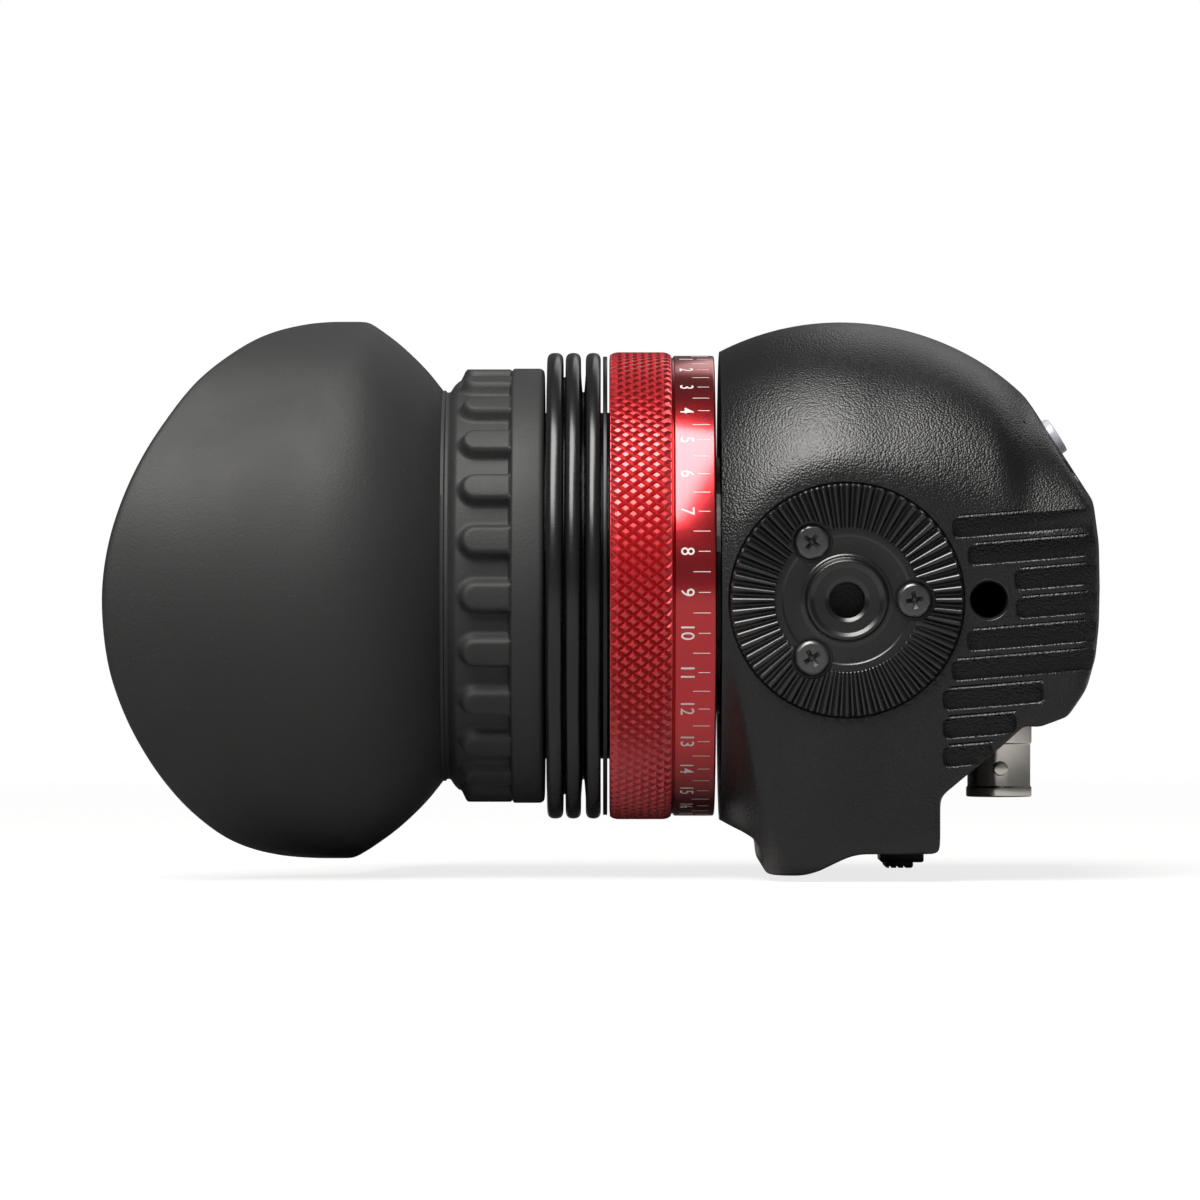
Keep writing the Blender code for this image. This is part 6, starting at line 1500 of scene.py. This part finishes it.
# (name, place, width, height, setting of its power, colour)
LAMPS = (
    ("key_box", (-0.19, -0.40, 0.75), 0.50, 0.86, "key_power", (1.0, 0.985, 0.96)),
    ("front_card", (-0.05, -1.30, 0.12), 1.6, 0.9, "fill_power", (0.97, 0.98, 1.0)),
    ("rim_box", (0.25, 0.7, 0.55), 0.6, 0.4, "rim_power", (1.0, 1.0, 1.0)),
)
LAMP_TARGET = Vector((-0.03, AXIS.y, AXIS.z))
SENSOR_WIDTH = 36.0
FLOOR_HALF = 4.0
FLOOR_GAP = 0.5 * MM
SHADOW_GREY, PAPER_WHITE = (0.36, 0.36, 0.36), (0.90, 0.90, 0.90)


def add_camera(stage):
    data = bpy.data.cameras.new("photo_camera")
    data.sensor_width = SENSOR_WIDTH
    data.lens = SENSOR_WIDTH * stage.camera_distance / stage.frame_width
    data.clip_end = 50.0
    camera = bpy.data.objects.new("photo_camera", data)
    camera.location = (stage.camera_x, AXIS.y - stage.camera_distance, 0.0)
    camera.rotation_euler = (pi / 2, 0.0, 0.0)
    bpy.context.scene.collection.objects.link(camera)
    bpy.context.scene.camera = camera


def add_lamps(stage):
    for name, place, width, height, power, tone in LAMPS:
        data = bpy.data.lights.new(name, "AREA")
        data.shape = "RECTANGLE"
        data.size = width
        data.size_y = height
        data.energy = getattr(stage, power)
        data.color = tone
        lamp = bpy.data.objects.new(name, data)
        lamp.location = place
        lamp.rotation_euler = (LAMP_TARGET - Vector(place)).to_track_quat("-Z", "Y").to_euler()
        bpy.context.scene.collection.objects.link(lamp)


def add_surroundings(stage):
    """A room that is white to the camera, dim as a light and dimmer still in reflections."""
    world = bpy.data.worlds.new("pale_room")
    bpy.context.scene.world = world
    world.use_nodes = True
    tree = world.node_tree
    shade = tree.nodes["Background"]
    shade.inputs["Color"].default_value = (1.0, 1.0, 1.0, 1.0)
    path = add_node(tree, "ShaderNodeLightPath")
    seen = math_node(tree, "MAXIMUM")
    gloss = math_node(tree, "MULTIPLY", in_1=stage.reflected)
    both = math_node(tree, "MAXIMUM")
    level = math_node(tree, "MAXIMUM", in_1=stage.ambient)
    wire(tree, (path, "Is Camera Ray", seen, 0), (path, "Is Transmission Ray", seen, 1),
         (path, "Is Glossy Ray", gloss, 0), (seen, 0, both, 0), (gloss, 0, both, 1), (both, 0, level, 0),
         (level, 0, shade, "Strength"))


def add_floor():
    """Pale paper that fades to white away from the object and reflects less than it shows."""
    floor = bmesh.new()
    bmesh.ops.create_grid(floor, x_segments=1, y_segments=1, size=FLOOR_HALF)
    move(floor, (0, 0, CAD_BOX[0][2] - FLOOR_GAP))
    material, tree, shader = new_material("pale_floor", Roughness=0.9, Specular_IOR_Level=0.0)
    path = add_node(tree, "ShaderNodeLightPath")
    paper = colour_mix(tree, SHADOW_GREY, PAPER_WHITE)
    place = add_node(tree, "ShaderNodeTexCoord")
    away = add_node(tree, "ShaderNodeVectorMath", operation="LENGTH")
    part = add_node(tree, "ShaderNodeMapRange", in_From_Min=0.25, in_From_Max=0.7, in_To_Min=0.8, in_To_Max=1.0)
    seen = math_node(tree, "MULTIPLY")
    glow = add_node(tree, "ShaderNodeEmission")
    mix = add_node(tree, "ShaderNodeMixShader")
    wire(tree, (path, "Is Camera Ray", paper, "Factor"), (paper, "Result", shader, "Base Color"),
         (place, "Object", away, 0), (away, "Value", part, "Value"), (path, "Is Camera Ray", seen, 0),
         (part, "Result", seen, 1), (seen, 0, mix, "Fac"), (shader, "BSDF", mix, 1), (glow, "Emission", mix, 2),
         (mix, "Shader", tree.nodes["Material Output"], "Surface"))
    obj = raw_object("floor", floor)
    obj.data.materials.append(material)


class VIEWFINDER_OT_stage(bpy.types.Operator):
    """Adds the camera, the lamps, the floor and the pale surroundings"""
    bl_idname = "viewfinder.stage"
    bl_label = "Stage"

    def execute(self, context):
        stage = sizes("stage")
        context.scene.view_settings.view_transform = "Standard"
        add_camera(stage)
        add_lamps(stage)
        add_surroundings(stage)
        add_floor()
        return {"FINISHED"}


PIECES = (VIEWFINDER_OT_body, VIEWFINDER_OT_rosette, VIEWFINDER_OT_screws, VIEWFINDER_OT_focus_ring,
          VIEWFINDER_OT_bellows, VIEWFINDER_OT_eyepiece, VIEWFINDER_OT_eyecup, VIEWFINDER_OT_controls,
          VIEWFINDER_OT_jack, VIEWFINDER_OT_battery, VIEWFINDER_OT_finishes, VIEWFINDER_OT_stage)


class VIEWFINDER_PT_sidebar(bpy.types.Panel):
    """Lists the pieces of the viewfinder"""
    bl_idname = "VIEWFINDER_PT_sidebar"
    bl_label = "Viewfinder"
    bl_space_type = "VIEW_3D"
    bl_region_type = "UI"
    bl_category = "Viewfinder"

    def draw(self, context):
        for piece in PIECES:
            self.layout.operator(piece.bl_idname)
        for kind in SETTINGS:
            column = self.layout.column()
            group = getattr(context.scene, "viewfinder_" + kind)
            for name in group.__annotations__:
                column.prop(group, name)


SETTINGS = {"body": ViewfinderBodySizes, "ring": ViewfinderRingSizes, "cup": ViewfinderCupSizes,
            "finish": ViewfinderFinish, "stage": ViewfinderStage}


def register():
    for kind, group in SETTINGS.items():
        bpy.utils.register_class(group)
        setattr(bpy.types.Scene, "viewfinder_" + kind, PointerProperty(type=group))
    for piece in PIECES:
        bpy.utils.register_class(piece)
    bpy.utils.register_class(VIEWFINDER_PT_sidebar)


def unregister():
    bpy.utils.unregister_class(VIEWFINDER_PT_sidebar)
    for piece in reversed(PIECES):
        bpy.utils.unregister_class(piece)
    for kind, group in SETTINGS.items():
        delattr(bpy.types.Scene, "viewfinder_" + kind)
        bpy.utils.unregister_class(group)


def main():
    register()
    for piece in PIECES:
        group, action = piece.bl_idname.split(".")
        getattr(getattr(bpy.ops, group), action)()


if __name__ == "__main__":
    main()
